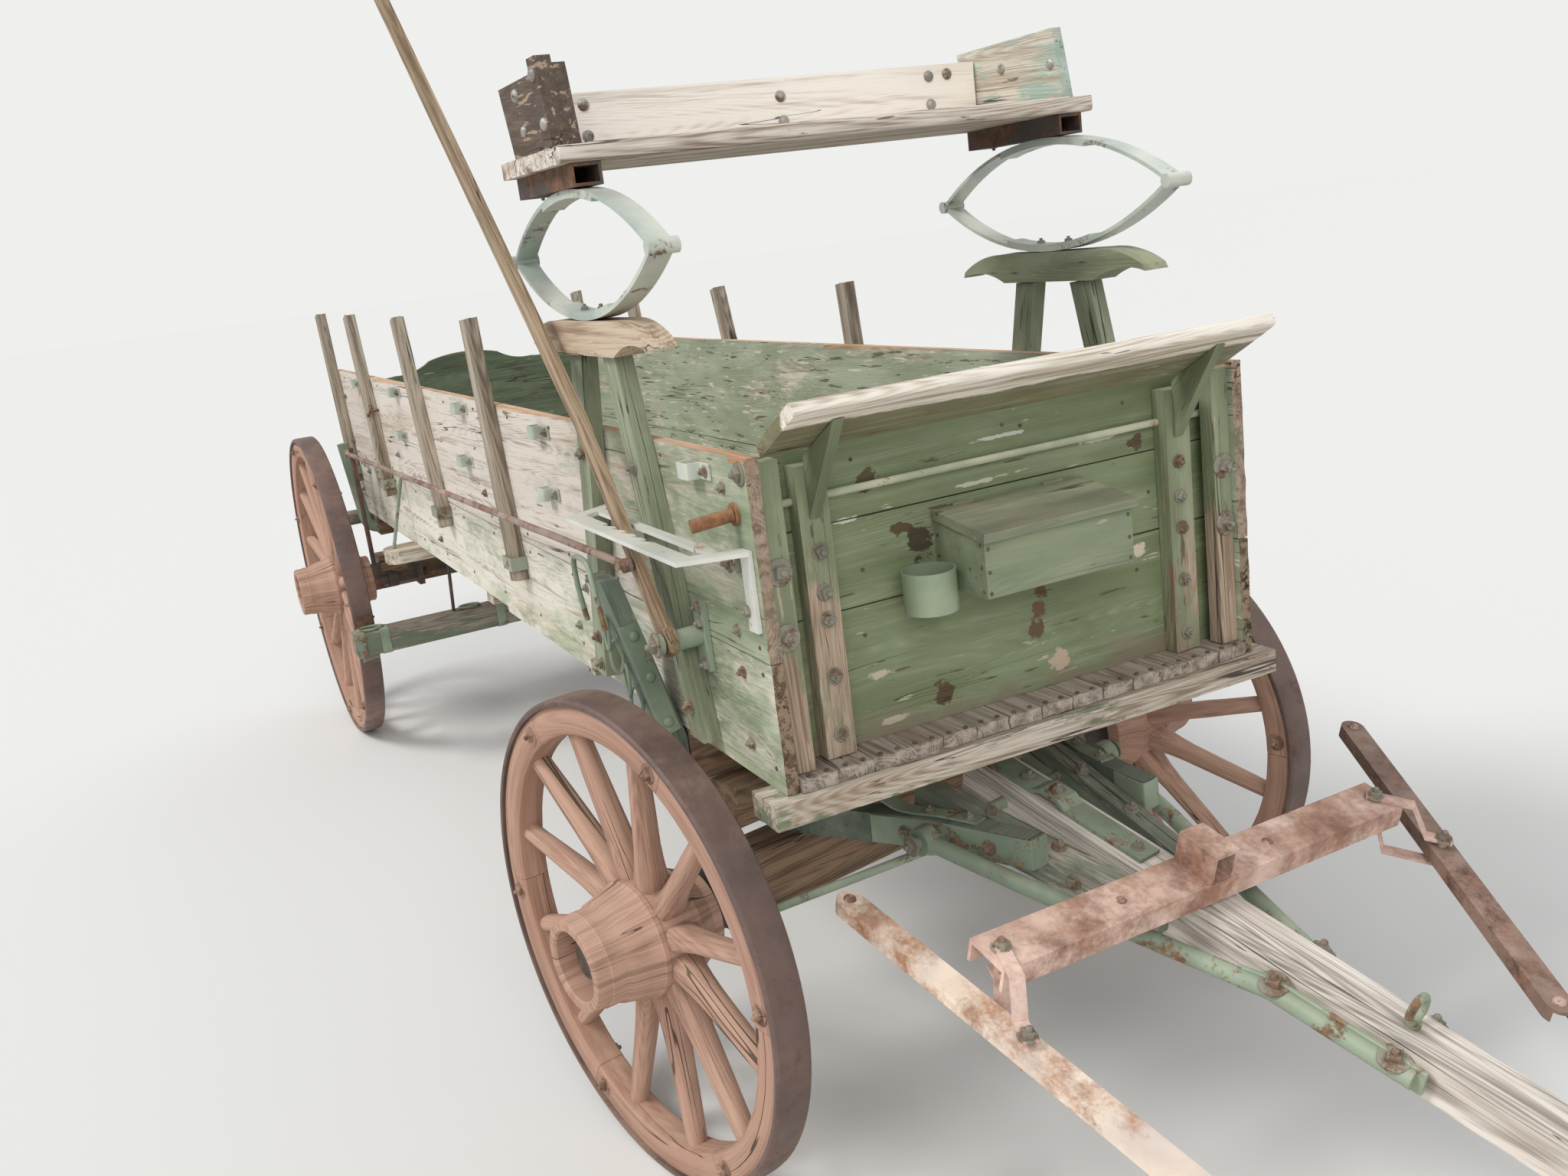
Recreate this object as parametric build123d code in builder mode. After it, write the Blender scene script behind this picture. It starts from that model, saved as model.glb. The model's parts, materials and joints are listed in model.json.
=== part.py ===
"""Horse-drawn farm wagon with a spring seat, standing with its tongue tip on the ground.

Lengths are in millimetres and angles in degrees. +X is forward, +Y is the wagon's left
and +Z is up. The origin is on the ground, below the middle of the wagon's outer box.
"""

import os
from math import asin, cos, degrees, pi, radians, sin, sqrt

from build123d import *

os.makedirs("parts", exist_ok=True)

# Running gear
FRONT_R = 500.0
REAR_R = 612.0
WHEELBASE = 3300.0
TRACK = 1488.0
FELLOE_W = 62.0
FELLOE_H = 62.0
TYRE_W = 76.0
TYRE_T = 14.0
FRONT_SPOKES = 12
REAR_SPOKES = 14
DISH = 34.0
NAVE_R = 122.0
NAVE_LENGTH = 290.0
NAVE_BORE = 56.0
SKEIN_GAP = 0.1
STEER = 11.0
GAP = 0.5

# Tongue and draught gear
PIN_X = 330.0
TONGUE_DROP = 15.0
POLE_W = 92.0
POLE_H = 90.0
POLE_TIP_W = 62.0
POLE_TIP_H = 60.0
POLE_TOP = 45.0
POLE_TAIL = 120.0
EVENER_AT = 442.0
EVENER_YAW = -7.5
EVENER_L = 990.0
EVENER_W = 92.0
EVENER_H = 45.0
EVENER_EYE = 465.0
STRAP_L = 140.0
STRAP_W = 26.0
STRAP_T = 6.0
STRAP_RIGHT_YAW = -18.5
STRAP_LEFT_YAW = 38.5
SINGLE_L = 914.0
SINGLE_W = 50.0
SINGLE_H = 28.0
SINGLE_RIGHT_YAW = 26.0
SINGLE_LEFT_YAW = -67.0
PIN_R = 9.0

# Box
BOX_W = 1067.0
BOX_FRONT = 513.0
BOX_REAR = -3585.0
SIDE_T = 25.0
SILL_TOP = 862.0
SILL_H = 48.0
FLOOR_T = 27.0
SEAM_Z = 1100.0
TOP_Z = 1454.0
SEAM = 2.0
PLANKS = 14
ENDGATE_X = 438.0
ENDGATE_T = 25.0

# Seat
SEAT_X = -70.0
POST_T = 37.0
POST_W = 68.0
POST_TOP_Z = 1613.0
BLOCK_H = 67.0
SPRING_HALF = 405.0
SPRING_RISE = 114.0
LEAF_T = 8.0
LEAF_W = 45.0
BEARER_H = 42.0
PLANK_T = 35.0
PLANK_HALF = 610.0

# Brake
PIVOT_X = 225.0
PIVOT_Z = 1098.0
LEVER_Y = -605.0
LEVER_T = 20.0
LEVER_L = 1900.0
LEVER_LEAN = 41.0
ROD_R = 8.0
ROCKER_X = 220.0 - WHEELBASE
ROCKER_Z = 635.0
ARM_L = 525.0

# Frames of the bodies
RAD_STEER = radians(STEER)
TONGUE_PIN_Z = 625.0
POLE_L = (TONGUE_PIN_Z + (POLE_TOP - POLE_TIP_H) * cos(radians(TONGUE_DROP))) / sin(radians(TONGUE_DROP))
TIP_U = PIN_X + POLE_L * cos(radians(TONGUE_DROP))
KING_X = (WHEELBASE + REAR_R - TIP_U * cos(RAD_STEER)) / 2

BED = Plane(origin=(KING_X, 0, 0))
FORE = Plane(origin=(KING_X, 0, 0), x_dir=(cos(RAD_STEER), sin(RAD_STEER), 0), z_dir=(0, 0, 1))


def inside(frame, origin=(0, 0, 0), x_dir=(1, 0, 0), z_dir=(0, 0, 1)):
    """Return the plane that stands at these coordinates of a body's own frame."""
    return Plane(frame.location * Plane(origin=origin, x_dir=x_dir, z_dir=z_dir).location)


def turned(frame, origin, yaw):
    """Return a frame turned by yaw about its own upright axis."""
    return inside(frame, origin, (cos(radians(yaw)), sin(radians(yaw)), 0))


TONGUE = inside(
    FORE,
    (PIN_X, 0, TONGUE_PIN_Z),
    (cos(radians(TONGUE_DROP)), 0, -sin(radians(TONGUE_DROP))),
    (sin(radians(TONGUE_DROP)), 0, cos(radians(TONGUE_DROP))),
)
EVENER_Z = POLE_TOP + 6
EVENER = turned(TONGUE, (EVENER_AT, 0, EVENER_Z), EVENER_YAW)
STRAP_RIGHT = turned(EVENER, (0, -EVENER_EYE, 0), STRAP_RIGHT_YAW)
STRAP_LEFT = turned(EVENER, (0, EVENER_EYE, 0), STRAP_LEFT_YAW)
SINGLE_RIGHT = turned(STRAP_RIGHT, (STRAP_L, 0, 0), SINGLE_RIGHT_YAW)
SINGLE_LEFT = turned(STRAP_LEFT, (STRAP_L, 0, 0), SINGLE_LEFT_YAW)


def block(frame, x, y, z, mode=Mode.ADD):
    """A squared piece between the low and high values along each axis of its frame."""
    centre = ((x[0] + x[1]) / 2, (y[0] + y[1]) / 2, (z[0] + z[1]) / 2)
    with Locations(frame.location * Location(centre)):
        Box(x[1] - x[0], y[1] - y[0], z[1] - z[0], mode=mode)


def along(frame, start, end, side):
    """The plane at start that looks towards end, with side as its first direction."""
    run = Vector(*end) - Vector(*start)
    return inside(frame, start, side, tuple(run)), run.length


def bar(frame, start, end, wide, thick, side, mode=Mode.ADD):
    """A straight bar from start to end, wide along side."""
    plane, length = along(frame, start, end, side)
    with BuildSketch(plane) as section:
        Rectangle(wide, thick)
    extrude(section.sketch, amount=length, mode=mode)


def rod(frame, start, end, radius, mode=Mode.ADD):
    """A round rod from start to end."""
    run = Vector(*end) - Vector(*start)
    side = (0, 0, 1) if abs(run.Z) < 0.9 * run.length else (1, 0, 0)
    plane, length = along(frame, start, end, side)
    with BuildSketch(plane) as section:
        Circle(radius)
    extrude(section.sketch, amount=length, mode=mode)


def strip(plane, points, thick, wide, mode=Mode.ADD):
    """A flat bar that follows points in its plane, thick in it and wide across it."""
    with BuildSketch(plane) as outline:
        with BuildLine():
            Polyline(*points)
        trace(line_width=thick)
    extrude(outline.sketch, amount=wide / 2, both=True, mode=mode)


def side_plane(frame, y):
    """An upright plane along the frame's X and Z at this y, looking towards -Y."""
    return inside(frame, (0, y, 0), (1, 0, 0), (0, -1, 0))


def save(piece, name):
    piece.part.label = name
    export_step(piece.part, f"parts/{name}.step")


half_w = BOX_W / 2
inner_y = half_w - SIDE_T
floor_z = SILL_TOP + FLOOR_T

# Box floor: planks that run fore and aft, their ends showing in front of the endgate, with a
# shallow rebate for each endgate
plank_w = 2 * inner_y / PLANKS
FLOOR_FRONT = 528.0
REAR_GATE_X = -3560.0
REBATE = 2.0
gate_z = floor_z - REBATE
with BuildPart() as floor_boards:
    for i in range(PLANKS):
        y0 = -inner_y + i * plank_w
        block(BED, (BOX_REAR, FLOOR_FRONT), (y0 + SEAM / 2, y0 + plank_w - SEAM / 2), (SILL_TOP, floor_z))
    for x in ((BOX_REAR, REAR_GATE_X + ENDGATE_T), (ENDGATE_X - ENDGATE_T, FLOOR_FRONT)):
        block(BED, x, (-inner_y, inner_y), (gate_z, floor_z), Mode.SUBTRACT)
save(floor_boards, "floor_boards")

# Cross sills: place, width and half length of each
SILLS = (
    (488.0, 95.0, 575.0),
    (-620.0, 80.0, 520.0),
    (-1560.0, 80.0, 520.0),
    (800.0 - WHEELBASE, 150.0, 655.0),
    (-3520.0, 95.0, 640.0),
)
with BuildPart() as cross_sills:
    for x, wide, half in SILLS:
        block(BED, (x - wide / 2, x + wide / 2), (-half, half), (SILL_TOP - SILL_H, SILL_TOP))
    ends = cross_sills.edges().filter_by(Axis.Z).filter_by(
        lambda e: abs(e.center().X - KING_X - SILLS[3][0]) < SILLS[3][1]
    )
    fillet(ends, 60)
save(cross_sills, "cross_sills")

# Side boards: a low and a high board on each side, with a strip that the front wheel rubs on
RUB_X = (-1181.0, -467.0)
RUB_Z = (870.0, 895.0)
RUB_T = 22.0
with BuildPart() as side_boards_lower:
    for s in (-1, 1):
        y = sorted((s * inner_y, s * half_w))
        block(BED, (BOX_REAR, BOX_FRONT), y, (SILL_TOP, SEAM_Z - SEAM / 2))
        y = sorted((s * half_w, s * (half_w + RUB_T)))
        block(BED, RUB_X, y, RUB_Z)
save(side_boards_lower, "side_boards_lower")

with BuildPart() as side_boards_upper:
    for s in (-1, 1):
        y = sorted((s * inner_y, s * half_w))
        block(BED, (BOX_REAR, BOX_FRONT), y, (SEAM_Z + SEAM / 2, TOP_Z))
    rod(BED, (ENDGATE_X + 9, -half_w - 1, 1355), (ENDGATE_X + 9, half_w + 1, 1355), 7.1, Mode.SUBTRACT)
save(side_boards_upper, "side_boards_upper")

# Front endgate: three boards across, between the side boards
endgate_top = 1442.0
FRONT_SEAMS = (gate_z, 1142.0, 1302.0, endgate_top)
with BuildPart() as endgate_front:
    for low, high in zip(FRONT_SEAMS, FRONT_SEAMS[1:]):
        block(BED, (ENDGATE_X - ENDGATE_T, ENDGATE_X), (-inner_y + 1, inner_y - 1), (low, high - SEAM))
save(endgate_front, "endgate_front")

# Cleats on the front endgate and posts in the corners outside it
CLEAT_Y = 400.0
CLEAT_W = 60.0
CLEAT_T = 36.0
ROD_Z = 1355.0
rod_x = ENDGATE_X + 9
with BuildPart() as endgate_cleats:
    for s in (-1, 1):
        y = s * CLEAT_Y
        block(BED, (ENDGATE_X, ENDGATE_X + CLEAT_T), (y - CLEAT_W / 2, y + CLEAT_W / 2), (gate_z, endgate_top - 22))
        y = sorted((s * inner_y, s * (inner_y - 42)))
        block(BED, (ENDGATE_X + 24, ENDGATE_X + 58), y, (gate_z, endgate_top + 2))
    rod(BED, (rod_x, -half_w, ROD_Z), (rod_x, half_w, ROD_Z), 7.1, Mode.SUBTRACT)
save(endgate_cleats, "endgate_cleats")

# Rods that draw the sides together across the front endgate, the right one with a handle
with BuildPart() as endgate_rod:
    rod(BED, (rod_x, -half_w - 8, ROD_Z), (rod_x, half_w + 18, ROD_Z), 7)
    rod(BED, (rod_x, -half_w - 5, ROD_Z), (rod_x, -half_w, ROD_Z), 20)
    rod(BED, (rod_x, half_w, ROD_Z), (rod_x, half_w + 5, ROD_Z), 20)
    rod(BED, (rod_x, -half_w - 5, ROD_Z), (rod_x - 12, -half_w - 78, ROD_Z - 8), 12)
save(endgate_rod, "endgate_rod")

# Footboard: a thick board that slopes forward and up along the top of the endgate
FOOT_SLOPE = 29.0
FOOT_DEPTH = 165.0
FOOT_T = 26.0
FOOT_HALF = 503.0
foot_frame = inside(
    BED,
    (ENDGATE_X + 60, 0, endgate_top + 6),
    (cos(radians(FOOT_SLOPE)), 0, sin(radians(FOOT_SLOPE))),
    (-sin(radians(FOOT_SLOPE)), 0, cos(radians(FOOT_SLOPE))),
)
with BuildPart() as footboard:
    block(foot_frame, (0, FOOT_DEPTH), (-FOOT_HALF, FOOT_HALF), (0, FOOT_T))
    fillet(footboard.edges().filter_by(Axis.Y).sort_by(Axis.X)[-2:], 9)
save(footboard, "footboard")

# Brackets that carry the footboard on the cleats
with BuildPart() as footboard_brackets:
    for s in (-1, 1):
        y = s * CLEAT_Y
        low = (ENDGATE_X + CLEAT_T, endgate_top - 120)
        with BuildSketch(side_plane(BED, y)):
            with BuildLine():
                Polyline(
                    low,
                    (low[0], endgate_top - 10),
                    (ENDGATE_X + 60, endgate_top + 6),
                    (ENDGATE_X + 60 + 120 * cos(radians(FOOT_SLOPE)), endgate_top + 6 + 120 * sin(radians(FOOT_SLOPE))),
                    low,
                )
            make_face()
        extrude(amount=11, both=True)
save(footboard_brackets, "footboard_brackets")

# Rear endgate with its wavy top and two cleats behind
with BuildPart() as endgate_rear:
    with BuildSketch(inside(BED, (REAR_GATE_X, 0, 0), (0, 1, 0), (1, 0, 0))):
        with BuildLine():
            y_end = inner_y - 1
            Line((-y_end, gate_z), (y_end, gate_z))
            Line((y_end, gate_z), (y_end, 1450))
            ThreePointArc((y_end, 1450), (410, 1398), (300, 1392))
            ThreePointArc((300, 1392), (210, 1402), (150, 1432))
            ThreePointArc((150, 1432), (0, 1452), (-150, 1432))
            ThreePointArc((-150, 1432), (-210, 1402), (-300, 1392))
            ThreePointArc((-300, 1392), (-410, 1398), (-y_end, 1450))
            Line((-y_end, 1450), (-y_end, gate_z))
        make_face()
    extrude(amount=ENDGATE_T)
    for s in (-1, 1):
        y = s * 300
        block(BED, (REAR_GATE_X - 24, REAR_GATE_X), (y - 32, y + 32), (gate_z, 1380))
save(endgate_rear, "endgate_rear")

# Stakes along the sides: foot place, head place, foot height and head height
STAKES = (
    (-3440.0, -3560.0, 990.0, 1690.0),
    (-2717.0, -2870.0, 1012.0, 1686.0),
    (-1824.0, -1990.0, 1018.0, 1682.0),
    (-1007.0, -1072.0, 985.0, 1683.0),
)
STAKE_W = 50.0
STAKE_T = 38.0
stake_y = half_w + STAKE_T / 2
with BuildPart() as stakes:
    for s in (-1, 1):
        for foot, head, low, high in STAKES:
            drop = 0 if s < 0 else 50
            bar(BED, (foot, s * stake_y, low), (head, s * stake_y, high - drop), STAKE_W, STAKE_T, (1, 0, 0))
save(stakes, "stakes")

# Staples that hold the stakes to the lower boards, and hooked side braces at one sill
STAPLE_T = 6.0
STAPLE_H = 34.0
with BuildPart() as stake_staples:
    for s in (-1, 1):
        for foot, head, low, high in STAKES:
            z = low + 55
            x = foot + (head - foot) * (z - low) / (high - low)
            reach_in = STAKE_W / 2 + 3
            near = half_w
            far = half_w + STAKE_T + 1
            y_out = sorted((s * far, s * (far + STAPLE_T)))
            block(BED, (x - reach_in - 12, x + reach_in + 12), y_out, (z - STAPLE_H / 2, z + STAPLE_H / 2))
            for e in (-1, 1):
                x_leg = sorted((x + e * (reach_in + 12 - STAPLE_T), x + e * (reach_in + 12)))
                y_leg = sorted((s * near, s * far))
                block(BED, x_leg, y_leg, (z - STAPLE_H / 2, z + STAPLE_H / 2))
save(stake_staples, "stake_staples")

with BuildPart() as side_braces:
    for s in (-1, 1):
        sill_x = SILLS[3][0]
        y_foot = s * (SILLS[3][2] - 40)
        rod(BED, (sill_x, y_foot, SILL_TOP), (sill_x, s * (half_w + 6), SEAM_Z + 20), 6)
        rod(BED, (sill_x, s * (half_w + 12), SEAM_Z + 20), (sill_x, s * half_w, SEAM_Z + 20), 7)
    block(BED, (sill_x - 20, sill_x + 20), (-700, 700), (SILL_TOP - 20, SILL_TOP), Mode.SUBTRACT)
    block(BED, (sill_x - 20, sill_x + 20), (-half_w, half_w), (SILL_TOP, TOP_Z), Mode.SUBTRACT)
save(side_braces, "side_braces")

# Seat posts, two a side, leaning together towards the top
POST_FOOT = 277.0
POST_HEAD = 100.0
post_y = half_w + POST_T / 2
with BuildPart() as seat_posts:
    for s in (-1, 1):
        for e in (-1, 1):
            with BuildSketch(side_plane(BED, s * post_y)):
                with BuildLine():
                    foot = SEAT_X + e * POST_FOOT
                    head = SEAT_X + e * POST_HEAD
                    half = POST_W / 2
                    low = SILL_TOP + 28
                    Polyline(
                        (foot - half, low),
                        (foot + half, low),
                        (head + half, POST_TOP_Z),
                        (head - half, POST_TOP_Z),
                        (foot - half, low),
                    )
                make_face()
            extrude(amount=POST_T / 2, both=True)
save(seat_posts, "seat_posts")

# Blocks on the posts, with pointed ends cut in a hollow curve below
BLOCK_HALF = 335.0
BLOCK_T = 62.0
block_top = POST_TOP_Z + BLOCK_H
block_y = half_w + POST_T / 2
with BuildPart() as seat_blocks:
    for s in (-1, 1):
        with BuildSketch(side_plane(BED, s * block_y)):
            with BuildLine():
                flat = 165
                tip_z = POST_TOP_Z + 24
                Line((SEAT_X - flat, POST_TOP_Z), (SEAT_X + flat, POST_TOP_Z))
                ThreePointArc(
                    (SEAT_X + flat, POST_TOP_Z),
                    (SEAT_X + flat + 70, tip_z - 2),
                    (SEAT_X + BLOCK_HALF, tip_z - 8),
                )
                Line((SEAT_X + BLOCK_HALF, tip_z - 8), (SEAT_X + BLOCK_HALF - 8, tip_z + 6))
                ThreePointArc(
                    (SEAT_X + BLOCK_HALF - 8, tip_z + 6),
                    (SEAT_X + BLOCK_HALF - 85, block_top - 8),
                    (SEAT_X + flat, block_top),
                )
                Line((SEAT_X + flat, block_top), (SEAT_X - flat, block_top))
                ThreePointArc(
                    (SEAT_X - flat, block_top),
                    (SEAT_X - BLOCK_HALF + 85, block_top - 8),
                    (SEAT_X - BLOCK_HALF + 8, tip_z + 6),
                )
                Line((SEAT_X - BLOCK_HALF + 8, tip_z + 6), (SEAT_X - BLOCK_HALF, tip_z - 8))
                ThreePointArc(
                    (SEAT_X - BLOCK_HALF, tip_z - 8),
                    (SEAT_X - flat - 70, tip_z - 2),
                    (SEAT_X - flat, POST_TOP_Z),
                )
            make_face()
        extrude(amount=BLOCK_T / 2, both=True)
save(seat_blocks, "seat_blocks")

# Full elliptic springs: two bowed leaves a side, joined at rolled eyes, with a short leaf
spring_mid = block_top + LEAF_T + SPRING_RISE
SHORT_LEAF = 150.0
leaf_h = SPRING_RISE + LEAF_T / 2
leaf_r = (SPRING_HALF**2 + leaf_h**2) / (2 * leaf_h)
with BuildPart() as seat_springs:
    for s in (-1, 1):
        plane = side_plane(BED, s * block_y)
        for e in (-1, 1):
            with BuildSketch(plane):
                with BuildLine():
                    ThreePointArc(
                        (SEAT_X - SPRING_HALF, spring_mid),
                        (SEAT_X, spring_mid + e * (SPRING_RISE + LEAF_T / 2)),
                        (SEAT_X + SPRING_HALF, spring_mid),
                    )
                trace(line_width=LEAF_T)
            extrude(amount=LEAF_W / 2, both=True)
            short_r = leaf_r - LEAF_T
            short_z = spring_mid + e * (leaf_h - leaf_r)
            end_z = short_z + e * sqrt(short_r**2 - SHORT_LEAF**2)
            with BuildSketch(plane):
                with BuildLine():
                    ThreePointArc(
                        (SEAT_X - SHORT_LEAF, end_z),
                        (SEAT_X, short_z + e * short_r),
                        (SEAT_X + SHORT_LEAF, end_z),
                    )
                trace(line_width=LEAF_T)
            extrude(amount=LEAF_W / 2, both=True)
        for e in (-1, 1):
            x = SEAT_X + e * SPRING_HALF
            rod(BED, (x, s * block_y - LEAF_W / 2 - 6, spring_mid), (x, s * block_y + LEAF_W / 2 + 6, spring_mid), 14)
save(seat_springs, "seat_springs")

# Seat plank on two channel bearers
bearer_z = spring_mid + SPRING_RISE + LEAF_T
plank_z = bearer_z + BEARER_H
PLANK_REAR = -355.0
PLANK_FRONT = 30.0
with BuildPart() as seat_bearers:
    for s in (-1, 1):
        y = s * block_y
        block(BED, (PLANK_REAR + 20, PLANK_FRONT - 15), (y - 30, y + 30), (bearer_z, plank_z))
        block(BED, (PLANK_REAR, PLANK_FRONT), (y - 24, y + 24), (bearer_z + 6, plank_z - 6), Mode.SUBTRACT)
        block(BED, (PLANK_REAR + 20, PLANK_FRONT - 15), (y - 30, y - 24), (bearer_z, plank_z))
save(seat_bearers, "seat_bearers")

BACK_H = 122.0
END_H = 148.0
END_Y = 548.0
END_T = 26.0
plank_top = plank_z + PLANK_T
seat_z = plank_top - REBATE
with BuildPart() as seat_plank:
    block(BED, (PLANK_REAR, PLANK_FRONT), (-PLANK_HALF, PLANK_HALF), (plank_z, plank_top))
    fillet(seat_plank.edges().filter_by(Axis.Y).sort_by(Axis.X)[-2:], 10)
    block(BED, (PLANK_REAR, PLANK_REAR + 33), (-PLANK_HALF, PLANK_HALF), (seat_z, plank_top), Mode.SUBTRACT)
    for s in (-1, 1):
        y = sorted((s * END_Y, s * PLANK_HALF))
        block(BED, (PLANK_REAR, PLANK_FRONT), y, (seat_z, plank_top), Mode.SUBTRACT)
save(seat_plank, "seat_plank")

# Seat back and the raked end boards, which stand in the plank's rebate
with BuildPart() as seat_back:
    block(BED, (PLANK_REAR + 8, PLANK_REAR + 33), (-END_Y, END_Y), (seat_z, plank_top + BACK_H))
save(seat_back, "seat_back")

with BuildPart() as seat_ends:
    for s in (-1, 1):
        with BuildSketch(side_plane(BED, s * (END_Y + END_T / 2))):
            with BuildLine():
                Polyline(
                    (PLANK_REAR + 8, seat_z),
                    (PLANK_FRONT - 25, seat_z),
                    (PLANK_FRONT - 55, seat_z + END_H),
                    (PLANK_REAR - 40, seat_z + END_H),
                    (PLANK_REAR + 8, seat_z),
                )
            make_face()
        extrude(amount=END_T / 2, both=True)
    y = sorted((-END_Y - END_T, -END_Y - END_T - 32))
    with BuildSketch(side_plane(BED, sum(y) / 2)):
        with BuildLine():
            Polyline(
                (PLANK_FRONT - 75, seat_z),
                (PLANK_FRONT - 25, seat_z),
                (PLANK_FRONT - 55, seat_z + END_H + 14),
                (PLANK_FRONT - 105, seat_z + END_H + 14),
                (PLANK_FRONT - 75, seat_z),
            )
        make_face()
    extrude(amount=16, both=True)
save(seat_ends, "seat_ends")

# Tool box on the front endgate, open at the top under a sloping lid
TOOL_X1 = 596.0
TOOL_Y = (-146.0, 176.0)
TOOL_LOW = 1143.0
TOOL_BACK_H = 125.0
TOOL_FRONT_H = 103.0
TOOL_WALL = 16.0
tool_frame = inside(BED, (ENDGATE_X, 0, TOOL_LOW))
tool_depth = TOOL_X1 - ENDGATE_X
with BuildPart() as tool_box:
    with BuildSketch(side_plane(BED, TOOL_Y[0])):
        with BuildLine():
            Polyline(
                (ENDGATE_X, TOOL_LOW),
                (TOOL_X1, TOOL_LOW),
                (TOOL_X1, TOOL_LOW + TOOL_FRONT_H),
                (ENDGATE_X, TOOL_LOW + TOOL_BACK_H),
                (ENDGATE_X, TOOL_LOW),
            )
        make_face()
    extrude(amount=TOOL_Y[0] - TOOL_Y[1])
    block(
        BED,
        (ENDGATE_X + TOOL_WALL, TOOL_X1 - TOOL_WALL),
        (TOOL_Y[0] + TOOL_WALL, TOOL_Y[1] - TOOL_WALL),
        (TOOL_LOW + TOOL_WALL, TOOL_LOW + 200),
        Mode.SUBTRACT,
    )
save(tool_box, "tool_box")

LID_T = 18.0
HINGE_IN = 8.4
HINGE_Z = TOOL_LOW + TOOL_BACK_H + LID_T - 1
lid_slope = degrees(asin((TOOL_BACK_H - TOOL_FRONT_H) / sqrt(tool_depth**2 + (TOOL_BACK_H - TOOL_FRONT_H) ** 2)))
lid_frame = inside(
    BED,
    (ENDGATE_X, 0, TOOL_LOW + TOOL_BACK_H),
    (cos(radians(lid_slope)), 0, -sin(radians(lid_slope))),
    (sin(radians(lid_slope)), 0, cos(radians(lid_slope))),
)
with BuildPart() as tool_box_lid:
    block(lid_frame, (6, tool_depth + 12), (TOOL_Y[0] - 7, TOOL_Y[1] + 7), (GAP, LID_T))
    for y in (TOOL_Y[0] + 60, TOOL_Y[1] - 60):
        rod(BED, (ENDGATE_X + HINGE_IN, y - 22, HINGE_Z), (ENDGATE_X + HINGE_IN, y + 22, HINGE_Z), 4)
save(tool_box_lid, "tool_box_lid")

# Open can beside the tool box, on a small bracket
CUP_R = 49.0
CUP_H = 76.0
CUP_X = ENDGATE_X + 62
CUP_Y = TOOL_Y[0] - CUP_R - 8
CUP_TOP = 1196.0
with BuildPart() as cup:
    with BuildSketch(inside(BED, (CUP_X, CUP_Y, CUP_TOP - CUP_H))):
        Circle(CUP_R)
    extrude(amount=CUP_H)
    with BuildSketch(inside(BED, (CUP_X, CUP_Y, CUP_TOP - CUP_H + 4))):
        Circle(CUP_R - 3)
    extrude(amount=CUP_H, mode=Mode.SUBTRACT)
    block(BED, (ENDGATE_X, CUP_X - CUP_R + 2), (CUP_Y - 12, CUP_Y + 12), (CUP_TOP - 52, CUP_TOP - 22))
save(cup, "cup")

# Front bolster with a board stake at each end, leaning out
BOLSTER_LOW = 742.0
BOLSTER_HALF = 532.0
SKEIN_R = 55.0
with BuildPart() as front_bolster:
    block(BED, (-50, 50), (-BOLSTER_HALF, BOLSTER_HALF), (BOLSTER_LOW, SILL_TOP))
    rod(BED, (0, 0, BOLSTER_LOW - 1), (0, 0, SILL_TOP + 1), 12, Mode.SUBTRACT)
save(front_bolster, "front_bolster")

STAKE_HEAD_Z = 1195.0
with BuildPart() as bolster_stakes:
    for s in (-1, 1):
        with BuildSketch(inside(BED, (-48, 0, 0), (0, 1, 0), (1, 0, 0))):
            with BuildLine():
                Polyline(
                    (s * BOLSTER_HALF, BOLSTER_LOW + 6),
                    (s * (BOLSTER_HALF + 40), BOLSTER_LOW + 6),
                    (s * (BOLSTER_HALF + 45), SILL_TOP),
                    (s * 662, STAKE_HEAD_Z),
                    (s * 624, STAKE_HEAD_Z),
                    (s * (half_w + 3), SILL_TOP),
                    (s * BOLSTER_HALF, SILL_TOP - 20),
                    (s * BOLSTER_HALF, BOLSTER_LOW + 6),
                )
            make_face()
        extrude(amount=96)
save(bolster_stakes, "bolster_stakes")

with BuildPart() as king_bolt:
    rod(BED, (0, 0, 455), (0, 0, SILL_TOP), 12)
save(king_bolt, "king_bolt")

# Reach: the long pole that couples the two axles under the box
REACH_W = 70.0
REACH_H = 50.0
REACH_FRONT_Z = 621.0
REACH_REAR_Z = 738.0
with BuildPart() as reach:
    bar(BED, (60, 0, REACH_FRONT_Z), (-WHEELBASE - 150, 0, REACH_REAR_Z), REACH_H, REACH_W, (0, 0, 1))
    rod(BED, (0, 0, REACH_FRONT_Z - 60), (0, 0, REACH_FRONT_Z + 60), 12, Mode.SUBTRACT)
save(reach, "reach")

# Axles: a squared beam with an iron skein at each end for the wheels
AXLE_W = 100.0
AXLE_UNDER = 45.0
AXLE_OVER = 90.0
AXLE_HALF = 560.0
nave_in = TRACK / 2 - NAVE_LENGTH / 2
skein_end = TRACK / 2 + NAVE_LENGTH / 2 - 60


def axle(frame, x, radius):
    """The beam and skeins of one axle, at the height of its wheels' centres."""
    block(frame, (x - AXLE_W / 2, x + AXLE_W / 2), (-AXLE_HALF, AXLE_HALF), (radius - AXLE_UNDER, radius + AXLE_OVER))
    for s in (-1, 1):
        rod(frame, (x, s * (AXLE_HALF - 60), radius), (x, s * skein_end, radius), NAVE_BORE - SKEIN_GAP)
        rod(frame, (x, s * skein_end, radius), (x, s * (skein_end + 34), radius), NAVE_BORE - 22)


with BuildPart() as rear_axle:
    axle(BED, -WHEELBASE, REAR_R)
save(rear_axle, "rear_axle")

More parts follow.
